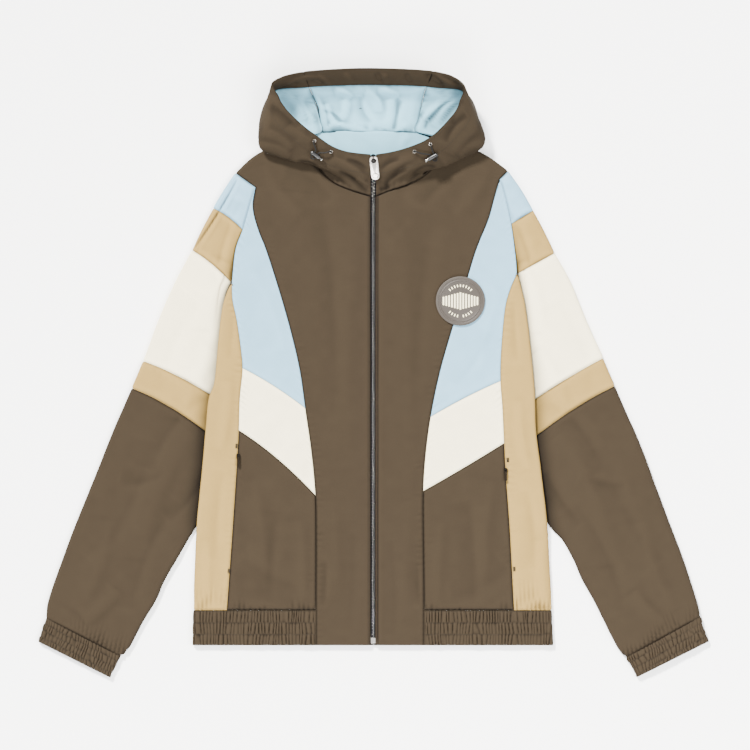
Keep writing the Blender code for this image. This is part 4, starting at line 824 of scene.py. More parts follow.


# folds, listed in the notes' pixels: x, y, x, y, width, height in mm, bow

folds = {
    "front": [
        (318, 205, 330, 420, 9, -0.7, 6), (352, 215, 345, 470, 12, 0.6, -5),
        (430, 210, 412, 430, 11, -0.7, -6), (398, 230, 402, 500, 13, 0.6, 4),
        (330, 500, 334, 600, 8, 0.6, 2), (350, 520, 347, 632, 9, -0.7, 2),
        (408, 500, 404, 620, 9, 0.6, -3), (389, 540, 392, 636, 7, -0.6, 2),
        (285, 170, 330, 200, 7, -0.8, 4), (460, 168, 420, 205, 7, -0.8, -4),
        (262, 165, 300, 215, 9, 0.7, -5), (486, 165, 452, 212, 9, 0.7, 5),
        (324, 560, 322, 606, 4, -0.8, 1), (417, 560, 419, 606, 4, -0.8, -1),
    ],
    "pocket": [
        (250, 480, 262, 590, 9, 0.8, 4), (275, 510, 268, 604, 8, -0.8, -3),
        (298, 520, 301, 606, 7, 0.7, 2), (440, 520, 436, 606, 7, 0.7, -2),
        (465, 500, 470, 604, 8, -0.8, 3), (490, 480, 482, 592, 9, 0.8, -4),
        (240, 560, 300, 590, 10, -0.6, -5), (506, 565, 450, 594, 10, -0.6, 5),
    ],
    "chest": [
        (244, 262, 282, 352, 7, 0.7, 5), (262, 235, 293, 330, 6, -0.6, -4),
        (478, 215, 462, 275, 6, 0.6, 3), (500, 290, 478, 372, 7, 0.7, -5),
        (488, 330, 452, 385, 6, -0.6, 4), (255, 200, 268, 262, 5, 0.5, 2),
    ],
    "side": [
        (228, 380, 218, 450, 5, 0.9, 3), (222, 470, 214, 560, 6, -0.9, -3),
        (518, 400, 527, 470, 5, 0.9, -3), (524, 490, 532, 570, 6, -0.9, 3),
        (206, 540, 204, 606, 5, 0.9, 1), (541, 540, 543, 606, 5, 0.9, -1),
        (233, 300, 228, 360, 4, -0.7, 1), (512, 300, 516, 362, 4, -0.7, -1),
    ],
    "sleeve": [
        (238.5, 177, 194, 249, 1.0, -2.0, 1.6), (242, 178, 198, 250, 1.6, 0.6, 1.6),
        (240, 200, 214, 292, 6, -2.1, -6), (226, 262, 206, 330, 7, 1.6, -4),
        (500, 200, 533, 290, 6, -2.1, 6), (522, 262, 540, 332, 7, 1.6, 4),
        (196, 300, 158, 392, 11, -1.3, -8), (552, 300, 590, 396, 11, -1.3, 8),
        (214, 352, 182, 420, 8, 1.7, -6), (536, 352, 563, 422, 8, 1.7, 6),
        (206, 392, 150, 470, 9, -1.6, -10), (541, 400, 600, 474, 9, -1.6, 10),
        (190, 430, 140, 560, 12, 1.6, -10), (556, 436, 607, 566, 12, 1.6, 10),
        (150, 440, 92, 560, 12, -1.3, 7), (598, 446, 655, 566, 12, -1.3, -7),
        (176, 500, 128, 610, 9, -1.4, -8), (572, 505, 620, 612, 9, -1.4, 8),
        (108, 520, 76, 612, 9, 1.3, 5), (640, 522, 672, 612, 9, 1.3, -5),
        (166, 470, 120, 480, 7, -1.2, 5), (584, 476, 626, 486, 7, -1.2, -5),
        (204, 470, 168, 520, 6, -1.3, 4), (545, 472, 580, 525, 6, -1.3, -4),
        (118, 590, 84, 622, 6, 1.6, 2), (632, 592, 664, 624, 6, 1.6, -2),
    ],
    "hood": [
        (300, 166, 352, 190, 2.9, -2.2, 4), (312, 175, 362, 200, 2.9, 1.7, 3),
        (445, 168, 396, 192, 2.9, -2.2, -4), (425, 176, 385, 199, 2.9, 1.7, -3),
        (330, 158, 366, 180, 2.9, 1.7, 3), (415, 158, 384, 178, 2.9, 1.7, -3),
        (268, 105, 300, 140, 4.3, -1.5, 4), (466, 116, 445, 143, 3.6, -2.0, -3),
        (262, 130, 292, 150, 4.3, 1.5, 3), (478, 128, 452, 156, 4.3, 1.5, -3),
        (290, 125, 312, 142, 3.6, 1.4, -2), (346, 160, 368, 170, 2.2, -1.4, 2),
        (400, 160, 380, 170, 2.2, -1.4, -2), (273, 95, 268, 130, 3.6, 1.4, -2),
        (470, 90, 474, 130, 3.6, 1.4, 2), (297, 163, 318, 168, 2.6, -2.4, 2),
        (318, 168, 338, 184, 2.4, -2.2, -2), (338, 172, 368, 194, 2.6, -2, 3),
        (436, 167, 408, 184, 2.6, -2.6, -3), (428, 174, 388, 197, 2.2, 2, -3),
        (408, 170, 384, 186, 2.4, -2, -2), (392, 186, 380, 192, 2.2, -2.2, 0),
        (356, 178, 368, 186, 2.2, 1.6, 0), (256, 145, 290, 157, 4, 1.5, 4),
        (488, 146, 458, 156, 4, 1.5, -4), (284, 100, 300, 128, 4, -1.2, 3),
        (462, 100, 452, 126, 4, -1.2, -3),
    ],
    "lining": [
        (327, 103, 352, 127, 2.6, 3.0, -7), (322, 110, 340, 126, 2.2, -1.9, 4),
        (345, 98, 341, 120, 3, 2.2, 4), (326, 131, 345, 129, 1.8, 3.5, 6),
        (333, 134, 350, 131, 2, -2.2, 3), (316, 96, 325, 131, 2.4, 2.6, 3),
        (391, 98, 387, 131, 3.4, 2.9, 4), (402, 100, 395, 132, 3, -2.2, -3),
        (365, 92, 380, 112, 3.6, 2.4, 5), (360, 96, 372, 124, 4, -1.8, -4),
        (455, 93, 418, 133, 2.4, 3.8, -4), (449, 94, 424, 129, 2, -2.4, -3),
        (462, 97, 436, 127, 2.6, 3.0, -4), (443, 95, 420, 122, 2.4, 2.2, 3),
        (300, 95, 314, 122, 3, 2.9, -3), (285, 93, 304, 120, 2.6, 2.7, 4),
        (292, 98, 310, 126, 2.4, -2.1, 3), (409, 124, 390, 133, 2.2, 2.4, 2),
        (352, 124, 376, 133, 3, 2.2, -3), (378, 90, 399, 96, 3, 1.9, 2), (335, 90, 352, 97, 2.6, 2.1, 2),
    ],
    "facing": [
        (274, 92, 300, 80, 2.2, -3.0, -2), (286, 84, 318, 79, 2.0, 2.4, 2),
        (298, 80, 330, 86, 2.0, -2.1, 2), (318, 76, 332, 88, 2.0, 1.8, 1),
        (376, 74, 384, 86, 2.0, -2.4, 1), (386, 75, 380, 86, 2.0, 1.8, 1),
        (425, 76, 446, 88, 2.2, -2.4, 2), (436, 75, 462, 88, 2.0, 2.1, -2),
        (452, 82, 464, 92, 1.9, -2.1, 1), (345, 74, 352, 84, 2.0, 1.4, 1),
        (405, 75, 412, 85, 2.0, -1.4, 1),
    ],
    "neck": [
        (322, 136, 334, 150, 3, 0.9, 3), (410, 136, 402, 152, 3, 0.9, -3),
        (350, 140, 380, 152, 6, -0.6, 3),
    ],
    "back": [
        (300, 250, 340, 480, 20, -0.5, 10), (440, 260, 410, 500, 20, -0.5, -10),
    ],
}


def unevenness(seed, amount):
    def field(px, py):
        x, y = px * pixel, py * pixel
        return amount * (0.62 * drift(x, y, 78, seed) + 0.3 * drift(x, y, 34, seed + 1)
                         + 0.12 * drift(x, y, 13, seed + 2))
    return field


def reliefOf(kind, seed, amount=0.8, ripples=()):   # ripples: edge, pitch, height, reach
    rough = unevenness(seed, amount)

    def relief(px, py, plain, grid):
        lift = rough(px, py) + creaseField(folds[kind], px, py)
        for at, (edge, pitch, height, reach) in enumerate(ripples):
            along = plain["first"] if edge in ("left", "right") else plain["left"]
            lift = lift + pucker(plain[edge], along, pitch, height, reach, seed + 10 * at + 5)
        return lift
    return relief


# body panels

def shoulderLine(side, shares):
    line = atShares(smoothPath(seams[side]["shoulder"], 16), shares)
    tangent = unit(np.gradient(line, axis=0))
    outward = np.stack([-tangent[:, 1], tangent[:, 0]], 1)
    outward[-1] = unit(line[-1] - np.array(seams[side]["armhole"][-1], float))
    outward[-4:-1] = unit(outward[-4:-1] + 0.5 * outward[-1])
    return line, outward


def centreFront(side, mirror):
    top = seams[side]["princess"][-1][1]
    rows = spread(top)[:-4] * top
    rows = np.append(rows[rows < top - 3], top)
    right = seamPoints(seams[side]["princess"], rows)
    zipEdge = np.stack([np.full(len(rows), zipHalfWidth), rows * neckHeight / top], 1)
    shares = spread(100)
    lower = zipEdge[:, None] + shares[None, :, None] * (right - zipEdge)[:, None]
    neckSteps = 44
    neckPlaces = np.linspace(0, sideNeckPlace, neckSteps + 1)
    neck = np.array([hoodSection(side, place)[0, :2] for place in neckPlaces])
    shoulder, outward = shoulderLine(side, shares)
    radius = laidHeight / 2
    topRow = shoulder - outward * radius
    neck[-1] = topRow[0]
    cap = np.linspace(right[-1], topRow[-1], neckSteps + 1)
    upper = coons(lower[-1], topRow, neck, cap, shares, np.linspace(0, 1, neckSteps + 1))
    plan = np.concatenate([lower, upper[1:]])
    grid, normals = onFront(side, plan)
    folded = []
    for swing, height in roundEdge(0, radius, 1, 6):
        row = grid[-1].copy()
        row[:, :2] += swing * outward
        row[:, 2] = height
        folded.append(row)
    under = folded[-1].copy()
    under[:, :2] -= shoulderReturn * outward
    whole = np.concatenate([grid, folded, [under]])
    wholeNormals = gridNormals(whole)
    wholeNormals[:len(grid) - 1] = normals[:-1]
    inset = whole.copy()
    inset[:, 0, 0] += seamGap / 2 - (zipLap if side == "l" else 0)
    inset[:, -1, 0] -= seamGap / 2
    seed = 11 if side == "r" else 12
    gentle = reliefOf("front", seed, 0.75, (("right", 9, 0.5, 9), ("left", 17, 0.2, 7)))

    def relief(px, py, plain, grid3):   # a pressed lip beside the zip, deeper on the left front
        line = np.exp(-((plain["left"] - 2.6) / 0.9) ** 2) * ease(plain["first"] / 10)
        return gentle(px, py, plain, grid3) - (1.5 if side == "l" else 0.4) * line

    def shade(grid3):
        lip, dark = (6.6, 0.5) if side == "l" else (7.4, 0.12)
        return dark * np.exp(-((grid3[..., 0] - lip) / 0.8) ** 2)
    cloth("front_panel_" + side, "front_" + side, "brown", inset, wholeNormals,
                 mirror, relief=relief, seamEdges="left right", seamShade=0.32, deepen=0.5, shade=shade)


def frontBlocks(side, mirror):
    lines = seams[side]
    pocketTop, creamTop = blocks[side]["pocketTop"], blocks[side]["creamTop"]
    top = lines["princess"][-1][1] - 5
    underarm = lines["side"][-1][1] - 5
    armTop = lines["armhole"][-1][1]
    patches = []
    for low, high, lowSide, highSide in ((bandHeight, pocketTop[0], bandHeight, pocketTop[1]),
                                         (pocketTop[0], creamTop[0], pocketTop[1], creamTop[1])):
        v = spread(high - low)
        left = seamPoints(lines["princess"], low + v * (high - low))
        right = seamPoints(lines["side"], lowSide + v * (highSide - lowSide))
        patches.append((left, right, v))
    rows = 102   # a third of them beside the side seam, the rest beside the armhole
    v = np.linspace(0, 1, rows + 1)
    left = seamPoints(lines["princess"], creamTop[0] + v * (top - creamTop[0]))
    low = seamPoints(lines["side"], np.linspace(creamTop[1], underarm, rows // 3 + 1))
    capEnd = crossSeams[side][0][1]
    heights = np.concatenate([np.linspace(lines["armhole"][0][1], capEnd, rows // 3 + 1),
                              np.linspace(capEnd, armTop, rows // 3 + 1)[1:]])
    high = seamPoints(lines["armhole"], heights)
    high[-1] = high[-2] + (high[-1] - high[-2]) * (top - high[-2, 1]) / (high[-1, 1] - high[-2, 1])
    patches.append((left, np.concatenate([low, high[1:]]), v))
    names = [("pocket_cloth_", "pocket_panel_", "brown", "pocket"),
             ("stripe_cloth_", "stripe_", "cream", "pocket"), ("chest_cloth_", "chest_", "sky", "chest")]
    shares = spread(110)
    bows = [0, pocketTop[2], creamTop[2], 0]
    for at, ((left, right, v), (name, node, colour, kind)) in enumerate(zip(patches, names)):
        bottom = bowed(left[0], right[0], shares, bows[at])
        ceiling = bowed(left[-1], right[-1], shares, bows[at + 1])
        grid, normals = onFront(side, inward(coons(bottom, ceiling, left, right, shares, v)))
        ripples = [("left", 9, 0.5, 9), ("right", 9, 0.5, 8)]
        if at == 0:
            ripples.append(("first", 7.5, 2.4, 11))
        cloth(name + side, node + side, colour, grid, normals, mirror,
              relief=reliefOf(kind, 21 + 3 * at + (side == "l"), 0.7, ripples),
              seamEdges="left right first last", seamShade=(0.36, 0.05, 0.05)[at], deepen=0.5,
              dip=(1.4, 0.7, 0.5)[at])


def fromEdge(grid, edge):   # the grid turned so that its first row is this edge
    turned = grid if edge in ("first", "last") else grid.swapaxes(0, 1)
    return turned[::-1] if edge in ("last", "right") else turned


def inward(grid, edges=("first", "last", "left", "right"), gap=seamGap / 2):   # leaves room at the seams
    grid = grid.copy()
    for edge in edges:
        turned = fromEdge(grid, edge)
        tangent = unit(np.gradient(turned[0], axis=0))
        towards = turned[1] - turned[0]
        towards = towards - (towards * tangent).sum(-1, keepdims=True) * tangent
        turned[0] += unit(towards) * gap
    return grid


def sectionRows(sections, shares):
    return np.array([atShares(np.array(section, float), shares) for section in sections])


def sidePanel(side, mirror):
    lines = seams[side]
    top = lines["side"][-1][1] - 1.5
    heights = bandHeight + spread(top - bandHeight) * (top - bandHeight)
    sections = []
    for height in heights:
        inner, edge = across(lines["side"], height), across(lines["edge"], height)
        under = sleeveUnder(height)
        bottom = liftedUnder * under
        ceiling = laidHeight + (liftedHeight - laidHeight) * under
        radius = (ceiling - bottom) / 2
        row = [(x, height, float(frontTop(side, x, height))) for x in np.linspace(inner, edge - radius, 7)]
        row += [(x, height, bottom + z) for x, z in roundEdge(edge - radius, radius, 1, 8)]
        row += [(edge - 13, height, bottom)]
        row += [(edge - backReturn + far, height, 0) for far in (5, 0)]
        sections.append(row)
    grid = sectionRows(sections, spread(92))
    normals = faced(grid, 4, 4)
    grid = inward(grid)
    grid[..., 2] = np.maximum(grid[..., 2], 0)
    base = reliefOf("side", 41 + (side == "l"), 0.7, (("left", 9, 0.6, 9), ("first", 6.6, 2.4, 22)))

    def relief(px, py, plain, grid3):   # nothing under the table
        return base(px, py, plain, grid3) * ease(grid3[..., 2] / 4)
    cloth("side_cloth_" + side, "side_panel_" + side, "tan", grid, normals, mirror,
          relief=relief, seamEdges="left right first last", deepen=0.4)


def backPanel():
    halves = {}
    for side in ("r", "l"):
        lines = seams[side]
        low = np.linspace(bandHeight, lines["side"][-1][1] - 5, 90)
        outline = [(across(lines["edge"], height) - backReturn - seamGap, height) for height in low]
        arm = seamPoints(lines["armhole"], np.linspace(lines["armhole"][0][1], lines["armhole"][-1][1], 28))
        outline += [(x - seamGap / 2, y) for x, y in arm[1:]]
        shoulder, outward = shoulderLine(side, np.linspace(0, 1, 20))
        inset = shoulder - outward * (laidHeight / 2 + shoulderReturn + seamGap)
        outline += [tuple(point) for point in inset[::-1]]
        halves[side] = np.array(outline)
    share = spread(440, 5.0)
    rows = []
    for right, left in zip(halves["r"], halves["l"]):
        start, end = np.array([-right[0], right[1], 0]), np.array([left[0], left[1], 0])
        rows.append(start + share[:, None] * (end - start))
    nape = rows[-1].copy()
    nape[:, 0] *= 0.8
    nape[:, 1] = napeHeight - seamGap / 2
    rows.append(nape)
    grid = np.array(rows)
    grid[0, :, 1] += seamGap / 2
    cloth("back_cloth", "back", "brown", grid, upright(grid, -1), thick=1.6, dip=0.0,
          relief=lambda px, py, plain, grid3: -0.12 * (1 + drift(px * pixel, py * pixel, 60, 77)),
          seamEdges="left right first last", restsOn=("floor",))


# elastic hem band and cuffs

elastic = {"hemPitch": 4.9, "cuffPitch": 5.1, "hemHeight": 2.5, "cuffHeight": 2.2, "hemStretch": 1.3,
           "cuffStretch": 1.4, "hemRows": (15.1, 31.2), "hemTopstitch": 47.4}


def shirring(around, along, tunnels, pitch, seed, height):
    # rows of elastic gather the cloth: broad crests, narrow valleys, and each row a little out of step
    lift, still = np.zeros_like(around), along * 0
    for at in range(len(tunnels) - 1):
        low, high = tunnels[at], tunnels[at + 1]
        inside = (along >= low) & (along <= high + 1e-6)
        share = np.clip((along - low) / (high - low), 0, 1)
        puff = np.sin(pi * share) ** 0.4
        wander = 2.4 * drift(around, still, 17, seed + at // 2)
        wander += 1.2 * drift(around, still, 6, seed + 9 + at)
        lean = 1.6 * (share - 0.5) * drift(around, still, 15, seed + 20 + at)
        crest = np.abs(np.cos(pi * around / pitch + wander + lean)) ** 0.55
        size = 0.75 + 0.5 * drift(around, still, 9, seed + 30 + at)
        gather = (0.45 + 0.55 * puff) * height * (size * crest - 0.45) - 0.55 * (1 - puff)
        lift = np.where(inside, gather, lift)
    return lift


def hemBand(side, mirror):
    lines = seams[side]
    sections = []
    for height in np.linspace(0, bandHeight - seamGap / 2, 34):
        inner, edge = across(lines["princess"], height) + seamGap / 2, across(lines["edge"], height)
        radius = laidHeight / 2
        row = [(x, height, laidHeight) for x in np.linspace(inner, edge - radius, 5)]
        row += [(x, height, z) for x, z in roundEdge(edge - radius, radius, 1)]
        row += [(x, height, 0) for x in (edge - backReturn, edge / 2, seamGap / 2)]
        sections.append(row)
    width = lengthsAlong(np.array(sections[0]))[-1]
    front = (across(lines["edge"], 20) - across(lines["princess"], 20) + 14) / width
    shares = np.concatenate([np.linspace(0, front, round(front * width / 0.85)),
                             np.linspace(front, 1, round((1 - front) * width / 2.6))[1:]])
    grid = sectionRows(sections, shares)
    normals = faced(grid, 4, 4)
    seed = 51 if side == "r" else 61

    def relief(px, py, plain, grid3):
        tunnels = (-1.2, *elastic["hemRows"], 50.2)
        lift = shirring(plain["left"], grid3[..., 1], tunnels, elastic["hemPitch"], seed,
                        elastic["hemHeight"])
        return lift * ease(grid3[..., 2] / 3.2) * ease(plain["left"] / 6 + 0.25)
    cloth("hem_band_cloth_" + side, "hem_band_" + side, "brown", grid, normals, mirror,
          relief=relief, seamEdges="left last", dip=0.5, gathered=elastic["hemStretch"], deepen=0.75)


def cuff(side, mirror):
    lines = seams[side]
    outerEnd, innerEnd = cuffEnds
    outerSeam, innerSeam = np.array(lines["outer"][-1], float), np.array(lines["inner"][-1], float)
    sections = []
    radius = laidHeight / 2
    for share in np.linspace(0.012, 1, 30):
        outer = outerSeam + share * (outerEnd - outerSeam)
        inner = innerSeam + share * (innerEnd - innerSeam)
        width = np.linalg.norm(inner - outer)
        towards = (inner - outer) / width
        ring = [(a, laidHeight) for a in np.linspace(radius, width - radius, 5)]
        ring += roundEdge(width - radius, radius, 1)
        ring += [(a, 0) for a in np.linspace(width - radius, radius, 4)[1:]]
        ring += [(radius - radius * sin(a), radius - radius * cos(a)) for a in np.linspace(0, pi, 8)[1:]]
        sections.append([(*(outer + a * towards), z) for a, z in ring])
    around = lengthsAlong(np.array(sections[0]))[-1]
    count = 2 * round(around / 1.4)
    grid = sectionRows(sections, np.linspace(0, 1, count + 1)[:-1])
    wrapped = np.concatenate([grid[:, -1:], grid, grid[:, :1]], 1)
    normals = faced(wrapped, 3, count // 6 + 1)[:, 1:-1]
    seed = 71 if side == "r" else 81

    def relief(px, py, plain, grid3):
        long = plain["first"].max()
        turns = round(plain["left"].max() / elastic["cuffPitch"])   # whole gathers, so that the ring closes
        pitch = plain["left"].max() / turns
        tunnels = np.linspace(-0.5, long + 0.8, 5)
        lift = shirring(plain["left"], plain["first"], tunnels, pitch, seed, elastic["cuffHeight"])
        return lift * ease(grid3[..., 2] / 3.0)
    cloth("cuff_cloth_" + side, "cuff_" + side, "brown", grid, normals, mirror, thick=1.2,
          relief=relief, seamEdges="first", dip=0.4, closed=True, deepen=0.75,
          gathered=elastic["cuffStretch"])


# sleeves

sleeveSteps = {"cap": 3, "upper_tan": 3, "stripe_sleeve": 5, "lower_tan": 2, "forearm": 8}
sleeveColours = {"cap": "sky", "upper_tan": "tan", "stripe_sleeve": "cream", "lower_tan": "tan",
                 "forearm": "brown"}


def besideBody(side):   # the sleeve is dark where the body shades it
    lines = seams[side]

    def shade(grid):
        height = grid[..., 1]
        top = lines["edge"][-1][1]
        line = np.where(height < top, across(lines["edge"], np.minimum(height, top)),
                        across(lines["armhole"], np.maximum(height, lines["armhole"][0][1])))
        distance = np.maximum(grid[..., 0] - line, 0)
        reach = 6 + 7 * ease((450 - height) / 70)
        return 0.62 * ease((600 - height) / 90) * ease((height - 120) / 90) * np.exp(-(distance / reach) ** 2)
    return shade


def sleeve(side, mirror):
    lines = seams[side]
    stops = [(lines["outer"][0][1], lines["armhole"][-1][1], 0)] + crossSeams[side]
    first = 0
    backRows = []
    for segment, (name, steps) in enumerate(sleeveSteps.items()):
        start, end = np.array(stops[segment], float), np.array(stops[segment + 1], float)
        onArmhole = first + steps <= 6
        long = max(abs(end[0] - start[0]), abs(end[1] - start[1])) * 1.12
        sections = []
        for share in spread(long):
            outerHeight, innerHeight, bow = start + (end - start) * share
            index = first + steps * share
            outer = np.array([across(lines["outer"][::-1], outerHeight), outerHeight])
            innerLine = lines["armhole"] if onArmhole or index <= 6 else lines["inner"][::-1]
            inner = np.array([across(innerLine, innerHeight), innerHeight])
            width = np.linalg.norm(inner - outer)
            towards = (inner - outer) / width
            innerTop = laidHeight + (tuckedHeight - laidHeight) * sleeveUnder(innerHeight)
            radius = laidHeight / 2
            section = [(sleeveReturn, 0)]
            section += [(radius - radius * sin(a), radius - radius * cos(a)) for a in np.linspace(0, pi, 9)]
            section += [(part * width, laidHeight) for part in (0.2, 0.3, 0.55)]
            if onArmhole:
                depth = laidHeight + (tuckedHeight - 0.2 - laidHeight) * ease((index - 0.6) / 5)
                section += [(0.8 * width, laidHeight - 0.3 * (laidHeight - depth)), (width, depth)]
            else:
                small = innerTop / 2
                section += [(width - 0.3 * (width - 14) + 3, 0.7 * laidHeight + 0.3 * innerTop),
                            (width - 14, innerTop), (width - small, innerTop)]
                section += roundEdge(width - small, small, 1, 8)
                section.append((width - sleeveReturn, 0))
            placed = []
            for a, z in section:
                swing = bow * 4 * (a / width) * (1 - a / width)
                placed.append((outer[0] + a * towards[0], outer[1] + a * towards[1] + swing, z))
            sections.append(placed)
            edge = (outer + (sleeveReturn + seamGap) * towards,
                    inner - (seamGap / 2 if onArmhole else sleeveReturn + seamGap) * towards)
            backRows.append([(*edge[0], 0), (*edge[1], 0)])
        grid = sectionRows(sections, spread(150 if onArmhole else 185))
        normals = faced(grid, 2, grid.shape[1] // 2)
        edges = ("first", "last", "right") if onArmhole else ("first", "last")
        seamEdges = "first last right" if onArmhole else "first last"
        ripples = [("first", 12, 0.3, 8), ("last", 12, 0.3, 8)]
        if name == "forearm":
            ripples[1] = ("last", 6.2, 2.2, 18)
        base = reliefOf("sleeve", 91 + segment + 7 * (side == "l"), 1.1, ripples)

        def relief(px, py, plain, grid3, base=base, onArmhole=onArmhole):   # full, but sunk by the body
            wide = plain["left"][:, -1:]
            place = np.clip((plain["left"] - 14) / (wide - (14 if onArmhole else 28)), 0, 1)
            full = 2.6 * np.sin(pi * place ** 1.15) ** 0.8
            under = sleeveUnder(grid3[..., 1]) * np.exp(-((1 - place) * wide / 19) ** 2)
            return (base(px, py, plain, grid3) + full - 1.9 * under) * ease((grid3[..., 2] - 0.5) / 4.5)
        laid = inward(grid, edges)
        if name == "forearm":
            laid = inward(laid, ("last",), -cuffLap)
        cloth(f"{name}_cloth_{side}", f"{name}_{side}", sleeveColours[name], laid, normals,
              mirror, relief=relief, seamEdges=seamEdges, restsOn=("sleeve_back_cloth_" + side,),
              shade=besideBody(side), dip=0.5 if onArmhole and name == "cap" else 0.9,
              seamShade=0.3 if name == "forearm" else 0.08, deepen=0.7 if onArmhole else 0.35)
        first += steps
    back = np.array(backRows, float)
    shares = np.linspace(0, 1, 26)
    grid = back[::2, :1] + shares[None, :, None] * (back[::2, 1:] - back[::2, :1])
    cloth("sleeve_back_cloth_" + side, "sleeve_back_" + side, "brown", inward(grid, ("first", "last")),
          upright(grid, -1), mirror, thick=1.6, dip=0.0,
          relief=lambda px, py, plain, grid3: -0.1 * (1 + drift(px * pixel, py * pixel, 50, 88)),
          seamEdges="first last", restsOn=("floor",))


for side, mirror in mirrors.items():
    centreFront(side, mirror)
    frontBlocks(side, mirror)
    sidePanel(side, mirror)
    hemBand(side, mirror)
    cuff(side, mirror)
    sleeve(side, mirror)
    print("cut and laid the", side, "half")
backPanel()


# hood

hoodColumns = (62, 44)   # from the zip to the side of the neck, and on to the crown seam


def hoodGrid(side, low, high=None, count=34, start=0, short=0):
    # columns from the zip to the crown seam; start and short leave room at the zip and at the collar's foot
    columns = []
    for place in np.concatenate([np.linspace(start, sideNeckPlace, hoodColumns[0]),
                                 np.linspace(sideNeckPlace, crownPlace, hoodColumns[1])[1:]]):
        path = hoodSection(side, place)[::-1]
        total = lengthsAlong(path)[-1] - short * (1 - ease((place - 3.4) / 1.4))
        columns.append(alongPath(path, np.linspace(low, total if high is None else high, count)))
    grid = np.stack(columns, 1)
    grid[..., 2] = np.maximum(grid[..., 2], 0)
    return grid


def crownGrid(low, high, count, floorRows):   # down the back of the hood, then over the floor to the nape
    ends = {}
    for side, mirror in mirrors.items():
        path = hoodSection(side, crownPlace)[::-1]
        total = lengthsAlong(path)[-1]
        wall = alongPath(path, np.linspace(low, total if high is None else high, count))
        floorPlaces = np.linspace(crownPlace, napePlace, floorRows + 1)[1:]
        floor = [hoodSection(side, place)[0] for place in floorPlaces]
        whole = np.concatenate([wall, np.array(floor).reshape(-1, 3)]) * (mirror, 1, 1)
        whole[:, 2] = np.maximum(whole[:, 2], 0)
        ends[side] = (whole, total)
    share = spread(165)[None, :, None]
    grid = ends["r"][0][:, None] * (1 - share) + ends["l"][0][:, None] * share
    bulge = 4 * share[..., 0] * (1 - share[..., 0])
    total = 0.5 * (ends["r"][1] + ends["l"][1])
    far = np.linspace(low, total if high is None else high, count) / total
    climb = np.concatenate([1 - far, np.zeros(floorRows)])[:, None]
    rims = [hoodSection(side, crownPlace)[-1] for side in ("r", "l")]
    middle = (rims[0][1:] + rims[1][1:]) / 2
    grid[..., 1] += (crownTop[1] - middle[0]) * bulge * climb
    grid[..., 2] += (crownTop[2] - middle[1]) * bulge * climb
    if floorRows:
        onFloor = ease((np.arange(len(grid)) - (count - 1)) / 1.0)[:, None]
        grid[..., 2] *= 1 - onFloor * (1 - (2 * share[..., 0] - 1) ** 2)
    return grid


def liningRelief(seed, ripples):   # the lining hangs a little loose inside the shell and never sinks into it
    plainRelief = reliefOf("lining", seed, 0.8, ripples)

    def relief(px, py, plain, grid3):
        loose = 1.6 * ease(np.minimum(np.minimum(plain["first"], plain["last"]), plain["right"]) / 14)
        return np.maximum(plainRelief(px, py, plain, grid3) + loose, -0.5)
    return relief


def relaxed(grid, rounds=40):   # evens out a grid's inner points
    grid = grid.copy()
    for _ in range(rounds):
        middle = (grid[:-2, 1:-1] + grid[2:, 1:-1] + grid[1:-1, :-2] + grid[1:-1, 2:]) / 4
        grid[1:-1, 1:-1] += 0.6 * (middle - grid[1:-1, 1:-1])
    return grid


liningRise = hoodWall + seamGap + liningWall - 0.1   # from the shell's face to the lining's
for side, mirror in mirrors.items():
    outer = hoodGrid(side, 0, count=40)
    out = faced(outer, 3, 2)
    seed = 111 if side == "r" else 121
    base = reliefOf("hood", seed, 0.9, (("last", 11, 0.9, 12), ("first", 17, 0.3, 6)))
    cloth("hood_cloth_" + side, "hood_side_" + side, "brown", inward(outer, ("last", "right")), out,
          mirror, thick=1.0, seamEdges="last right", dip=1.4, deepen=0.6, seamShade=0.5,
          relief=lambda px, py, plain, grid3, base=base: np.maximum(base(px, py, plain, grid3), -2.1))
    inside = hoodGrid(side, facingWidth, count=32, start=0.16, short=9)
    inNormals = -faced(inside, 3, 2)
    steps = np.arange(inside.shape[1]) / (hoodColumns[0] - 1)
    clear = 0.5 + 2.6 * (1 - ease((steps * sideNeckPlace - 3) / 2))   # clear of the collar's creases
    clear = clear[None, :, None] * ease(np.linspace(0, 8, inside.shape[0]))[:, None, None]
    visible = inside + inNormals * (liningRise + clear)
    cloth("lining_cloth_" + side, "hood_lining_" + side, "lining",
          inward(visible, ("first", "last", "right")), inNormals, mirror, thick=0.8,
          seamEdges="first right", deepen=0.6, seamShade=0.35, dip=0.35,
          relief=liningRelief(seed + 3, (("right", 12, 0.4, 10), ("first", 11, 0.35, 8))),
          restsOn=("hood_cloth_" + side,))
crownRows, floorRows = 34, 14   # up the back of the hood, and on the floor to the nape
crown = crownGrid(0, None, crownRows, floorRows)
crownOut = faced(crown, 5, 30, 1)
crownOut[crownRows:] = (0, 0, -1)
cloth("hood_crown_cloth", "hood_crown", "brown", inward(crown, ("last", "left", "right")),
      crownOut, thick=1.0, seamEdges="left right last",
      relief=lambda px, py, plain, grid3: unevenness(131, 0.8)(px, py) * ease(grid3[..., 2] / 8))
inside = crownGrid(facingWidth, None, 22, floorRows)
inNormals = -faced(inside, 4, 30, 1)
inNormals[24:] = (0, 0, 1)
inNormals[18:24] = unit(inNormals[18:24] + (0, 0, 0.8))
inside = relaxed(inside + inNormals * liningRise)
inNormals = unit((0, 0, 0.05) - faced(inside, 4, 30, 1))
cloth("lining_crown_cloth", "hood_lining_crown", "lining", inward(inside), inNormals, thick=0.8,
      seamEdges="left right first last", restsOn=("hood_crown_cloth",), deepen=0.6, seamShade=0.35, dip=0.35,
      relief=liningRelief(135, (("first", 13, 0.3, 7), ("last", 12, 0.5, 8))))
strips = [hoodGrid(side, 0, facingWidth, count=14) * (mirror, 1, 1) for side, mirror in mirrors.items()]
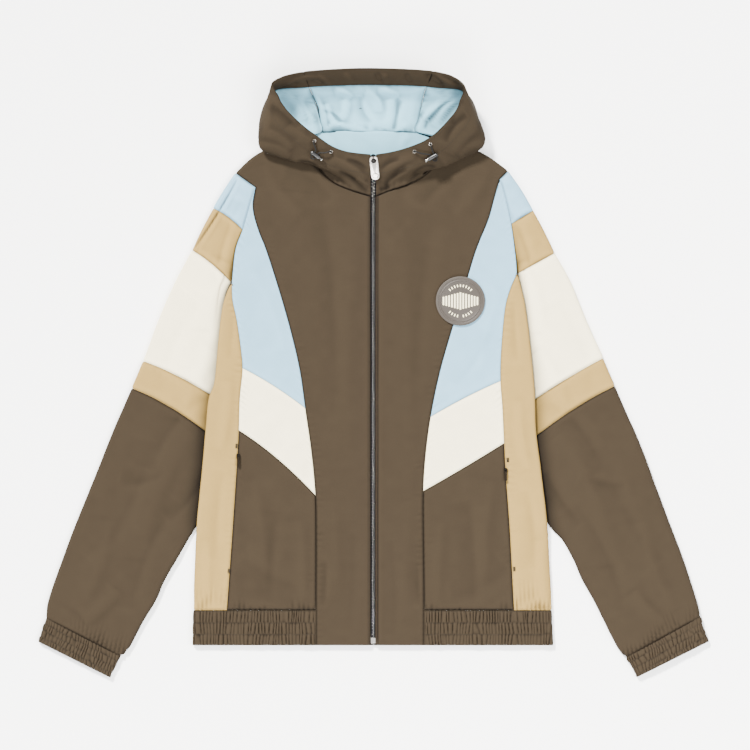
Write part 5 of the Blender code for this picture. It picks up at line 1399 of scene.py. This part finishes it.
strip = np.concatenate([strips[0], crownGrid(0, facingWidth, 14, 0)[:, 1:-1], strips[1][:, ::-1]], 1)
stripIn = -faced(strip, 5, 2)
cloth("facing_cloth", "hood_facing", "brown",
      inward(strip + stripIn * liningRise, ("last",)), stripIn, thick=0.8, dip=0.5,
      deepen=0.25, seamEdges="last",
      relief=reliefOf("facing", 141, 0.7, (("last", 12, 0.4, 7), ("first", 15, 0.25, 6))),
      restsOn=("hood_cloth_r", "hood_cloth_l"))
neckRows = smoothPath([(648, 44), (662, 62), (680, 78), (700, 84), (714, 80), (721, 68)], 7)
neckShares = np.linspace(-1, 1, 60)
neck = np.array([[(half * at - 4, height, clothWall + seamGap + liningWall) for at in neckShares]
                 for height, half in neckRows])
cloth("neck_cloth", "neck_facing", "lining", neck, upright(neck, 1), thick=0.8, seamEdges="last",
      relief=reliefOf("neck", 151, 0.5, (("last", 12, 0.3, 8),)))
print("hood made")


# main zip: two woven tapes and a row of interlocked teeth

zipper = {"tapeTop": 3.2, "tape": 0.8, "tapeEnds": (3, 684), "chainEnds": (11, 676), "pitch": 4.2,
          "toothAcross": 2.4, "toothAlong": 1.45, "toothHeight": 1.7, "offset": 1.15}


def zipLine(heights):   # points along the front edges' face, with the way out of the cloth
    path = hoodSection("r", 0)[::-1]
    collar = alongPath(path, np.concatenate([[0, 15], np.linspace(30, lengthsAlong(path)[-1], 6)]))[::-1]
    heights = np.asarray(heights, float)

    def top(at):
        return np.where(at < neckHeight, laidHeight, np.interp(at, collar[:, 1], collar[:, 2]))
    rise = (top(heights + 1) - top(heights - 1)) / 2
    points = np.stack([np.zeros_like(heights), heights, top(heights)], 1)
    return points, unit(np.stack([np.zeros_like(heights), -rise, np.ones_like(heights)], 1))


tapeLow, tapeHigh = zipper["tapeEnds"]
tapeRows = [np.arange(tapeLow, 620, 4.0), np.arange(620, tapeHigh + 0.1, 1.6)]   # closer on the collar
zipPoints, zipOut = zipLine(np.concatenate(tapeRows))
for side, mirror in mirrors.items():
    columns = np.linspace(0.15, 10.3, 9)
    grid = (zipPoints - zipper["tapeTop"] * zipOut)[:, None] + columns[None, :, None] * np.array([1.0, 0, 0])
    out = np.repeat(zipOut[:, None], len(columns), 1)
    cloth("zip_tape_cloth_" + side, "zip_tape_" + side, "tape", grid, out, mirror,
          thick=zipper["tape"], dip=0.0,
          relief=lambda px, py, plain, grid3: 0.1 * drift(px * pixel, py * pixel, 9, 5))


# hard pieces are modelled in edit mode

def pick(mode, test):   # selects what the test on its middle, in mm, accepts
    bpy.ops.mesh.select_mode(type=mode)
    bpy.ops.mesh.select_all(action="DESELECT")
    work = bmesh.from_edit_mesh(bpy.context.object.data)
    for item in {"VERT": work.verts, "EDGE": work.edges, "FACE": work.faces}[mode]:
        corners = [item] if mode == "VERT" else item.verts
        places = [corner.co / mm for corner in corners]
        item.select_set(bool(test(sum(places, Vector()) / len(places), places)))
    work.select_flush_mode()
    bmesh.update_edit_mesh(bpy.context.object.data)


unitSizes = {"cube": {"size": 1}, "cylinder": {"radius": 1, "depth": 1}, "torus": {},
             "uv_sphere": {"radius": 1}}


def startPiece(name, kind, scale, centre=(0, 0, 0), **settings):   # leaves it in edit mode
    bpy.ops.object.select_all(action="DESELECT")
    getattr(bpy.ops.mesh, "primitive_" + kind + "_add")(**unitSizes[kind], **settings)
    made = bpy.context.object
    made.name = made.data.name = name
    made.scale = tuple(part * mm for part in scale)
    bpy.ops.object.transform_apply(location=False, rotation=False, scale=True)
    made.data.transform(Matrix.Translation(Vector(centre) * mm))
    bpy.ops.object.mode_set(mode="EDIT")
    return made


def extrude(rise, share=(1, 1, 1)):   # pulls out what is selected by mm, then scales it
    bpy.ops.mesh.extrude_region_move(TRANSFORM_OT_translate={"value": Vector(rise) * mm})
    bpy.ops.transform.resize(value=share)


def inset(width, rise):   # insets what is selected, in mm, and moves it up
    bpy.ops.mesh.inset(thickness=width * mm)
    bpy.ops.transform.translate(value=(0, 0, rise * mm))


def dress(made, finish, angle):
    made.data.materials.clear()
    made.data.materials.append(finish)
    made.data.shade_smooth()
    made.data.set_sharp_from_angle(angle=radians(angle))
    return made


def endPiece(made, finish, angle=38):
    bpy.ops.object.mode_set(mode="OBJECT")
    return dress(made, finish, angle)


def drill(made, radius, depth, place, turn=0, vertices=24):   # cuts a round hole, turned about Y
    tool = startPiece("cutter", "cylinder", (radius, radius, depth), vertices=vertices)
    bpy.ops.object.mode_set(mode="OBJECT")
    tool.data.transform(Matrix.Translation(Vector(place) * mm) @ Matrix.Rotation(turn, 4, "Y"))
    bpy.ops.object.select_all(action="DESELECT")
    bpy.context.view_layer.objects.active = made
    cut = made.modifiers.new("cut", "BOOLEAN")
    cut.operation, cut.object, cut.solver = "DIFFERENCE", tool, "EXACT"
    bpy.ops.object.modifier_apply(modifier=cut.name)
    bpy.data.objects.remove(tool)


def soften(made, width, segments=2, angle=35):
    bpy.context.view_layer.objects.active = made
    edge = made.modifiers.new("edge", "BEVEL")
    edge.width, edge.segments = width * mm, segments
    edge.limit_method, edge.angle_limit = "ANGLE", radians(angle)
    edge.harden_normals = False
    bpy.ops.object.modifier_apply(modifier=edge.name)


def settle(made, axes, body, slot, *nodes):   # puts a piece modelled at the origin in its place
    origin, xAxis, yAxis, zAxis = axes
    turned = Matrix(np.array([xAxis, yAxis, zAxis]).T.tolist()).to_4x4()
    made.data.transform(Matrix.Translation(blenderPoint(origin)) @ turned)
    return register(made, body, slot, *nodes)


def copies(name, model, places, finish):   # one piece of many small meshes; places in mm
    base = np.array([vertex.co[:] for vertex in model.data.vertices])
    faces = [list(face.vertices) for face in model.data.polygons]
    points, polygons = [], []
    for at, (origin, axes) in enumerate(places):
        points.append(base @ np.asarray(axes) + (np.asarray(origin) - (0, middleHeight, 0)) * mm)
        polygons += [[corner + at * len(base) for corner in face] for face in faces]
    mesh = bpy.data.meshes.new(name)
    mesh.from_pydata(np.concatenate(points).tolist(), [], polygons)
    return dress(newObject(name, mesh), finish, 40)


tooth = startPiece("tooth", "cube", (zipper["toothAcross"], zipper["toothAlong"], zipper["toothHeight"]))
pick("FACE", lambda middle, places: middle.z > 0.5)
bpy.ops.transform.resize(value=(0.86, 0.62, 1))
pick("FACE", lambda middle, places: middle.x < -0.7)
bpy.ops.transform.resize(value=(1, 0.8, 0.8))
pick("EDGE", lambda middle, places: middle.z > 0.4 or abs(middle.x) > 0.9)
bpy.ops.mesh.bevel(offset=0.22 * mm, segments=1)
endPiece(tooth, metals["teeth"])
places = []
for mirror, shift in ((-1, 0.0), (1, zipper["pitch"] / 2)):
    heights = np.arange(zipper["chainEnds"][0] + shift, zipper["chainEnds"][1], zipper["pitch"])
    for point, out in zip(*zipLine(heights)):
        sink = zipper["tapeTop"] - seamGap - zipper["toothHeight"] / 2 + 0.1
        along = np.cross(out, (1, 0, 0))
        origin = point - sink * out + mirror * zipper["offset"] * np.array([1, 0, 0])
        places.append((origin, (np.array([mirror, 0, 0]), mirror * along, out)))
register(copies("zip_teeth", tooth, places, metals["teeth"]), "garment", "zip_metal", "zip_chain")
bpy.data.objects.remove(tooth)
print("zip laid:", len(places), "teeth")


# slider bodies keep the solids' shape with softened edges

def refined(name, node, finish, width):
    source = frame["nodes"][node]
    made = newObject(name, source.data.copy())
    work = bmesh.new()
    work.from_mesh(made.data)
    bmesh.ops.remove_doubles(work, verts=work.verts, dist=0.00001)
    bmesh.ops.recalc_face_normals(work, faces=work.faces)
    work.to_mesh(made.data)
    work.free()
    bpy.ops.object.select_all(action="DESELECT")
    soften(made, width, 3)
    made.data.polygons.foreach_set("material_index", [0] * len(made.data.polygons))
    slot = "zip_metal" if finish is metals["black"] else "pull_metal"
    register(dress(made, finish, 40), "garment", slot, node)


refined("main_slider", "zip_slider", metals["black"], 0.22)
refined("pocket_slider_r", "pocket_r_slider", metals["black"], 0.14)
refined("pocket_slider_l", "pocket_l_slider", metals["black"], 0.14)
refined("bottom_box", "zip_box", metals["pull"], 0.35)


# pull tabs: frames are on the pin that each tab turns on

pulls = {"main": {"width": 11.2, "length": 33.6, "thick": 1.4, "bar": 2.0, "hole": 3.9, "lift": 1.69},
         "pocket": {"width": 3.6, "length": 17, "thick": 1.0, "bar": 1.3, "hole": 1.15, "lift": 2.69}}


def pullTab(name, sizes, finish):
    half, bar, end = sizes["width"] / 2, sizes["bar"], sizes["bar"] / 2 - sizes["length"]
    low, high = end, bar / 2 - half * 0.9
    made = startPiece(name, "cube", (sizes["width"], high - low, sizes["thick"]), (0, (low + high) / 2, 0))
    for rise, share in ((half * 0.6, 0.89), (half * 0.3, 0.64)):
        pick("FACE", lambda middle, places: all(place.y > high - 0.01 for place in places))
        extrude((0, rise, 0), (share, 1, 1))
        high += rise
    pick("EDGE", lambda middle, places: (abs(places[0].z - places[1].z) > 0.5 * sizes["thick"]
                                         and middle.y < low + 0.1))
    bpy.ops.mesh.bevel(offset=half * 0.99 * mm, segments=12)
    bpy.ops.object.mode_set(mode="OBJECT")
    drill(made, sizes["hole"], 6, (0, -(bar / 2 + sizes["hole"]), 0), vertices=36)
    soften(made, 0.16 * sizes["thick"], 3)
    return endPiece(made, finish, 50)


mainPull = pullTab("main_pull", pulls["main"], metals["pull"])
half = pulls["main"]["width"] / 2   # a black ring at the rounded end, painted shade standing in for a round groove
arc = startPiece("pull_arc", "torus", (1, 1, 0.3), major_radius=3.5, minor_radius=0.6, major_segments=40,
                 minor_segments=8)
endPiece(arc, lockPlastic)
arc.data.transform(Matrix.Translation(Vector((0, pulls["main"]["bar"] / 2 - pulls["main"]["length"] + half,
                                              pulls["main"]["thick"] / 2 + 0.12)) * mm))


def leaning(origin, sideways, up):   # axes whose third is square to two directions in the cloth
    xAxis = unit(np.array(sideways, float))
    zAxis = unit(np.cross(xAxis, np.array(up, float)))
    return np.array(origin, float), xAxis, np.cross(zAxis, xAxis), zAxis


sliderHeight = 683
pocketSliders = {"r": (189, 266), "l": (185.5, 246)}
(above, below, atSlider), _ = zipLine([sliderHeight + 1.0, sliderHeight - 9.0, float(sliderHeight)])
base, xAxis, yAxis, zAxis = leaning(atSlider, (1, 0, 0), above - below)
base = base + pulls["main"]["lift"] * zAxis
tilt = radians(6)
tabFrame = (base, cos(tilt) * xAxis + sin(tilt) * yAxis, cos(tilt) * yAxis - sin(tilt) * xAxis, zAxis)
settle(mainPull, tabFrame, "zip_pull", "pull_metal", "zip_pull")
settle(arc, tabFrame, "zip_pull", "lock_plastic")
for side, mirror in mirrors.items():
    x, y = pocketSliders[side]
    above, below = across(seams[side]["side"], y + 10.0), across(seams[side]["side"], y - 20.0)
    place, normal = onFront(side, np.array([[x, y]], float))
    tab = leaning(place[0] * (mirror, 1, 1), (1, 0, 0), (mirror * (above - below), 30, 0))
    tab = (tab[0] + pulls["pocket"]["lift"] * tab[3],) + tab[1:]
    settle(pullTab("pocket_pull_tab_" + side, pulls["pocket"], metals["dark"]), tab, "pocket_pull_" + side,
           "zip_metal", f"pocket_{side}_pull")
print("pull tabs placed")


# eyelets, barrel locks and their buttons

eyelet = {"middle": 1.95, "wall": 0.62, "height": 0.8}
lockPieces = {}   # what hangs on each cord


def barrelLock(name):   # axis along z, button end up
    half, long = lock["length"] / 2, lock["length"] - 1.0
    made = startPiece(name, "cylinder", (lock["radius"], lock["radius"], long), (0, 0, 0.1), vertices=40)
    low = 0.1 - long / 2
    pick("FACE", lambda middle, places: middle.z < low + 0.01)
    extrude((0, 0, -half - 0.9 - low), (0.72, 0.72, 1))
    pick("FACE", lambda middle, places: middle.z > half - 0.45)
    extrude((0, 0, 0.4), (0.9, 0.9, 1))
    bpy.ops.object.mode_set(mode="OBJECT")
    for hole in lock["holes"]:
        drill(made, lock["hole"], 12, (0, 0, hole), pi / 2)
    drill(made, lock["bore"], 6, (0, 0, half - lock["boreDepth"] + 3), vertices=28)
    soften(made, 0.3, 3, 30)
    return endPiece(made, lockPlastic, 50)


def lockButton(name):
    half = lock["length"] / 2
    low, high = half - lock["boreDepth"] + lock["travel"] + 0.3, half + lock["travel"] + 0.3
    made = startPiece(name, "cylinder", (lock["stem"], lock["stem"], high - low), (0, 0, (low + high) / 2),
                      vertices=36)
    pick("FACE", lambda middle, places: middle.z > high - 0.01)
    wider = lock["head"] / lock["stem"]
    extrude((0, 0, 0.02), (wider, wider, 1))
    extrude((0, 0, lock["headLength"] - 0.02))
    inset(1.1, -0.35)
    bpy.ops.object.mode_set(mode="OBJECT")
    soften(made, 0.22, 3, 30)
    return endPiece(made, metals["teeth"], 50)


for side, mirror in mirrors.items():
    for name, place in zip(("far", "near"), eyeletPlaces[side]):
        origin, along, rimward, out = hoodFrame(side, mirror, *place)
        flatness = eyelet["height"] / 2 / eyelet["wall"]
        ring = startPiece(f"eyelet_ring_{name}_{side}", "torus", (1, 1, flatness),
                          major_radius=eyelet["middle"], minor_radius=eyelet["wall"], major_segments=44,
                          minor_segments=12)
        endPiece(ring, metals["eyelet"])
        settle(ring, (origin + 0.95 * out, along, np.cross(out, along), out), "garment", "pull_metal",
               f"eyelet_{name}_{side}")
        # painted shade: a black cup fills the eyelet's hole so that it reads dark
        cup = startPiece(f"eyelet_cup_{name}_{side}", "cylinder", (1.6, 1.6, 0.3), vertices=28)
        pick("FACE", lambda middle, places: middle.z > 0.1)
        inset(0.3, -0.12)
        endPiece(cup, lockPlastic)
        settle(cup, (origin + 0.6 * out, along, np.cross(out, along), out), "garment", "lock_plastic")
    centre, rimward, out, axis = lockFrame(side, mirror)
    turned = (centre, rimward, np.cross(axis, rimward), axis)
    lockPieces[side] = [
        settle(barrelLock("barrel_lock_" + side), turned, "garment", "lock_plastic", "lock_" + side),
        settle(lockButton("barrel_button_" + side), turned, "lock_button_" + side, "pull_metal",
               "lock_button_" + side)]
print("locks and eyelets placed")


# moulded rubber badge, with a plain pattern of its own

badge = {"place": (122, 482), "radius": 34.5, "rim": 3.4, "thick": 1.6, "raise": 0.6, "ring": 28.4,
         "ticks": 9, "tickRing": 21.4, "tickStep": 11, "bars": 13, "barStep": 3.95}
high = badge["thick"] + badge["raise"]
disc = startPiece("badge_disc", "cylinder", (badge["radius"], badge["radius"], high), (0, 0, high / 2),
                  vertices=128)
pick("FACE", lambda middle, places: middle.z > high - 0.1)
slope = 0.35   # of the rim's inner wall
inner = badge["radius"] - badge["rim"] - slope - badge["ring"] - 0.7
for width, rise in ((badge["rim"], 0), (slope, -badge["raise"]), (inner, 0), (0.3, 0.5), (0.8, 0),
                    (0.3, -0.5)):
    inset(width, rise)
bpy.ops.object.mode_set(mode="OBJECT")
soften(disc, 0.25, 2, 40)
endPiece(disc, badgeRubber, 50)
x, y = badge["place"]
badgeBase = float(frontTop("l", np.array([float(x)]), np.array([float(y)]))[0]) + seamGap + 0.1
flat = tuple(np.eye(3))
settle(disc, (np.array([x, y, badgeBase]),) + flat, "garment", "badge_rubber", "badge")
bar = startPiece("badge_bar", "cube", (1, 1, 0.5))
pick("EDGE", lambda middle, places: middle.z > 0.2)
bpy.ops.mesh.bevel(offset=0.12 * mm, segments=2)
endPiece(bar, badgePrint)
places = []
face = badgeBase + badge["thick"] + 0.12


def inlay(u, v, long, wide, angle):   # a small raised bar on the badge, its long side along the angle
    axisX = np.array([cos(angle), sin(angle), 0]) * long
    axisY = np.array([-sin(angle), cos(angle), 0]) * wide
    places.append((np.array([x + u, y + v, face]), (axisX, axisY, flat[2])))


ticks, ring = badge["ticks"] // 2, badge["tickRing"]
for at in range(-ticks, ticks + 1):   # an arc of ticks above and below, and upright bars between them
    angle = radians(90 + badge["tickStep"] * at)
    inlay(ring * cos(angle), ring * sin(angle), 3.6, 1.5, angle)
    if at:
        inlay(ring * cos(angle), -ring * sin(angle), 3.6, 1.5, -angle)
bars = badge["bars"] // 2
for at in range(-bars, bars + 1):
    inlay(badge["barStep"] * at, 0, 2.3, 24.0 - 2.1 * abs(at), 0)
register(copies("badge_inlay", bar, places, badgePrint), "garment", "shell_cream")
bpy.data.objects.remove(bar)
print("badge placed")


# stitching: one stitch is modelled and laid along each sewn line

stitch = startPiece("stitch", "uv_sphere", (1, 0.26, 0.22), segments=8, ring_count=5)
endPiece(stitch, threads["brown"])
sewn = {colour: [] for colour in threads}


def beside(name, edge, inset):   # points and normals on a finished cloth, a distance in from one of its edges
    line, out = [], []
    for row, normals in zip(*(fromEdge(part, edge).swapaxes(0, 1) for part in pieceGrids[name])):
        lengths = lengthsAlong(row)
        line.append(mixed(inset, lengths, row))
        out.append(mixed(inset, lengths, normals))
    return np.array(line), unit(np.array(out))


def sew(name, edge, inset, colour="brown", lowest=-1, pitch=3.2, length=2.0, lift=0.08):
    line, out = beside(name, edge, inset)
    lengths = lengthsAlong(line)
    steps = np.arange(pitch / 2, lengths[-1], pitch)
    points, normals = mixed(steps, lengths, line), unit(mixed(steps, lengths, out))
    alongs = unit(mixed(steps + 0.8, lengths, line) - mixed(steps - 0.8, lengths, line))
    for point, normal, along in zip(points, normals, alongs):
        if point[2] > lowest:
            axes = (along * length / 2, np.cross(normal, along), normal)
            sewn[colour].append((point + lift * normal, axes))


topstitches = [   # piece, edge, distance in, colour, lowest place sewn, pitch, length, lift
    ("front_panel_", "left", 3.2, "brown", 5, 3.0, 2.1, 0.08),
    *[("hem_band_cloth_", "first", row, "brown", 1.5, 3.2, 2.0, 0.12)
      for row in (*elastic["hemRows"], elastic["hemTopstitch"])],
    ("hood_cloth_", "first", 27, "brown", -1, 3.2, 2.2, 0.08),
    ("hood_cloth_", "first", 2.6, "brown", -1, 3.2, 2.2, 0.08),
    ("pocket_cloth_", "first", 2.4, "brown", 3, 3.0, 2.0, 0.08),
    ("side_cloth_", "first", 2.4, "tan", 3, 3.0, 2.0, 0.08),
    ("stripe_cloth_", "first", 2.2, "sky", -1, 3.0, 2.0, 0.08),
    ("cap_cloth_", "left", sleeveReturn + 9.2, "sky", -1, 3.0, 2.1, 0.08),
    ("upper_tan_cloth_", "left", sleeveReturn + 9.2, "tan", -1, 3.0, 2.1, 0.08),
]
for side in mirrors:
    for name, *how in topstitches:
        sew(name + side, *how)
    cuffName = "cuff_cloth_" + side
    long = edgeDistances(pieceGrids[cuffName][0])["first"].max()
    for share in (0.25, 0.5, 0.75):
        sew(cuffName, "first", share * long, lowest=1.5, lift=0.12)


def bartack(side, mirror, px, py):   # a close zigzag that ends a pocket mouth
    x, y = (px - notesCentre) * pixel, (notesHem - py) * pixel
    place, normal = onFront(side, np.array([[mirror * x, y]], float))
    up = unit(np.array([across(seams[side]["side"], y + 5) - across(seams[side]["side"], y - 5), 10, 0])
              * (mirror, 1, 1))
    for at in range(11):
        point = place[0] * (mirror, 1, 1) + (at - 5) * 0.55 * up + 0.5 * normal[0] * (mirror, 1, 1)
        sideways = np.cross(up, flat[2]) + 0.12 * (-1) ** at * up
        sewn["brown"].append((point, (unit(sideways) * 2.3, up, flat[2])))


for side, mirror, spots in (("r", -1, ((236.6, 446), (229, 571))), ("l", 1, ((507.8, 460), (514.2, 569)))):
    for px, py in spots:
        bartack(side, mirror, px, py)
for colour, spots in sewn.items():
    register(copies("stitching_" + colour, stitch, spots, threads[colour]), "garment", slots[colour])
    print("sewed", len(spots), colour, "stitches")
bpy.data.objects.remove(stitch)


# cords declared with what is on them

for side, (made, path, total) in cordPieces.items():
    route = [blenderPoint(point)[:] for point in path]
    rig.cord(made, exit=route[0], length=round(total * mm, 5), diameter=2 * cord["radius"] * mm,
            far_end="object", stiffness="limp", lay="loose", path=route, with_pieces=lockPieces[side])


# floor and lights

def lamp(name, kind, power, colour, place, **settings):   # shines from its place at the garment
    light = bpy.data.lights.new(name, kind)
    light.energy, light.color = power, linear(colour)
    for key, value in settings.items():
        setattr(light, key, value)
    made = newObject(name, light)
    made.location = place
    made.rotation_euler = (-Vector(place)).to_track_quat("-Z", "Y").to_euler()


bpy.ops.object.select_all(action="DESELECT")
bpy.ops.mesh.primitive_plane_add(size=9, location=(0, 0, -0.4 * mm))
floor = bpy.context.object
floor.name = "table"
floor.data.materials.append(startMaterial("whitePaper", "FDFDFC", 0.9)[0])
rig.stage(floor)
lamp("fill", "AREA", 270, "FFFFFF", (2.4, -0.6, 3.0), shape="RECTANGLE", size=2.4, size_y=2.4)
lamp("low", "AREA", 250, "FFFFFF", (-0.4, -2.8, 2.2), shape="RECTANGLE", size=2.4, size_y=1.4)
lamp("window", "SUN", 16.5, "FFFDF9", (-0.42, 0.66, 0.64), angle=radians(10))   # from the upper left
world = bpy.data.worlds.new("paleRoom")
world.use_nodes = True
background = world.node_tree.nodes["Background"]
background.inputs["Color"].default_value = (*linear("F4F5F7"), 1)
background.inputs["Strength"].default_value = 1.5
bpy.context.scene.world = world
for name, width, length, area in sheets:
    print(f"sheet {name}: {width:.3f} x {length:.3f} m, {area:.4f} m2")
boxes = {"cad": [list(corner) for corner in cadBox], "visual": [list(corner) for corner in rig.bounds()]}
json.dump(boxes, open("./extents.json", "w"))
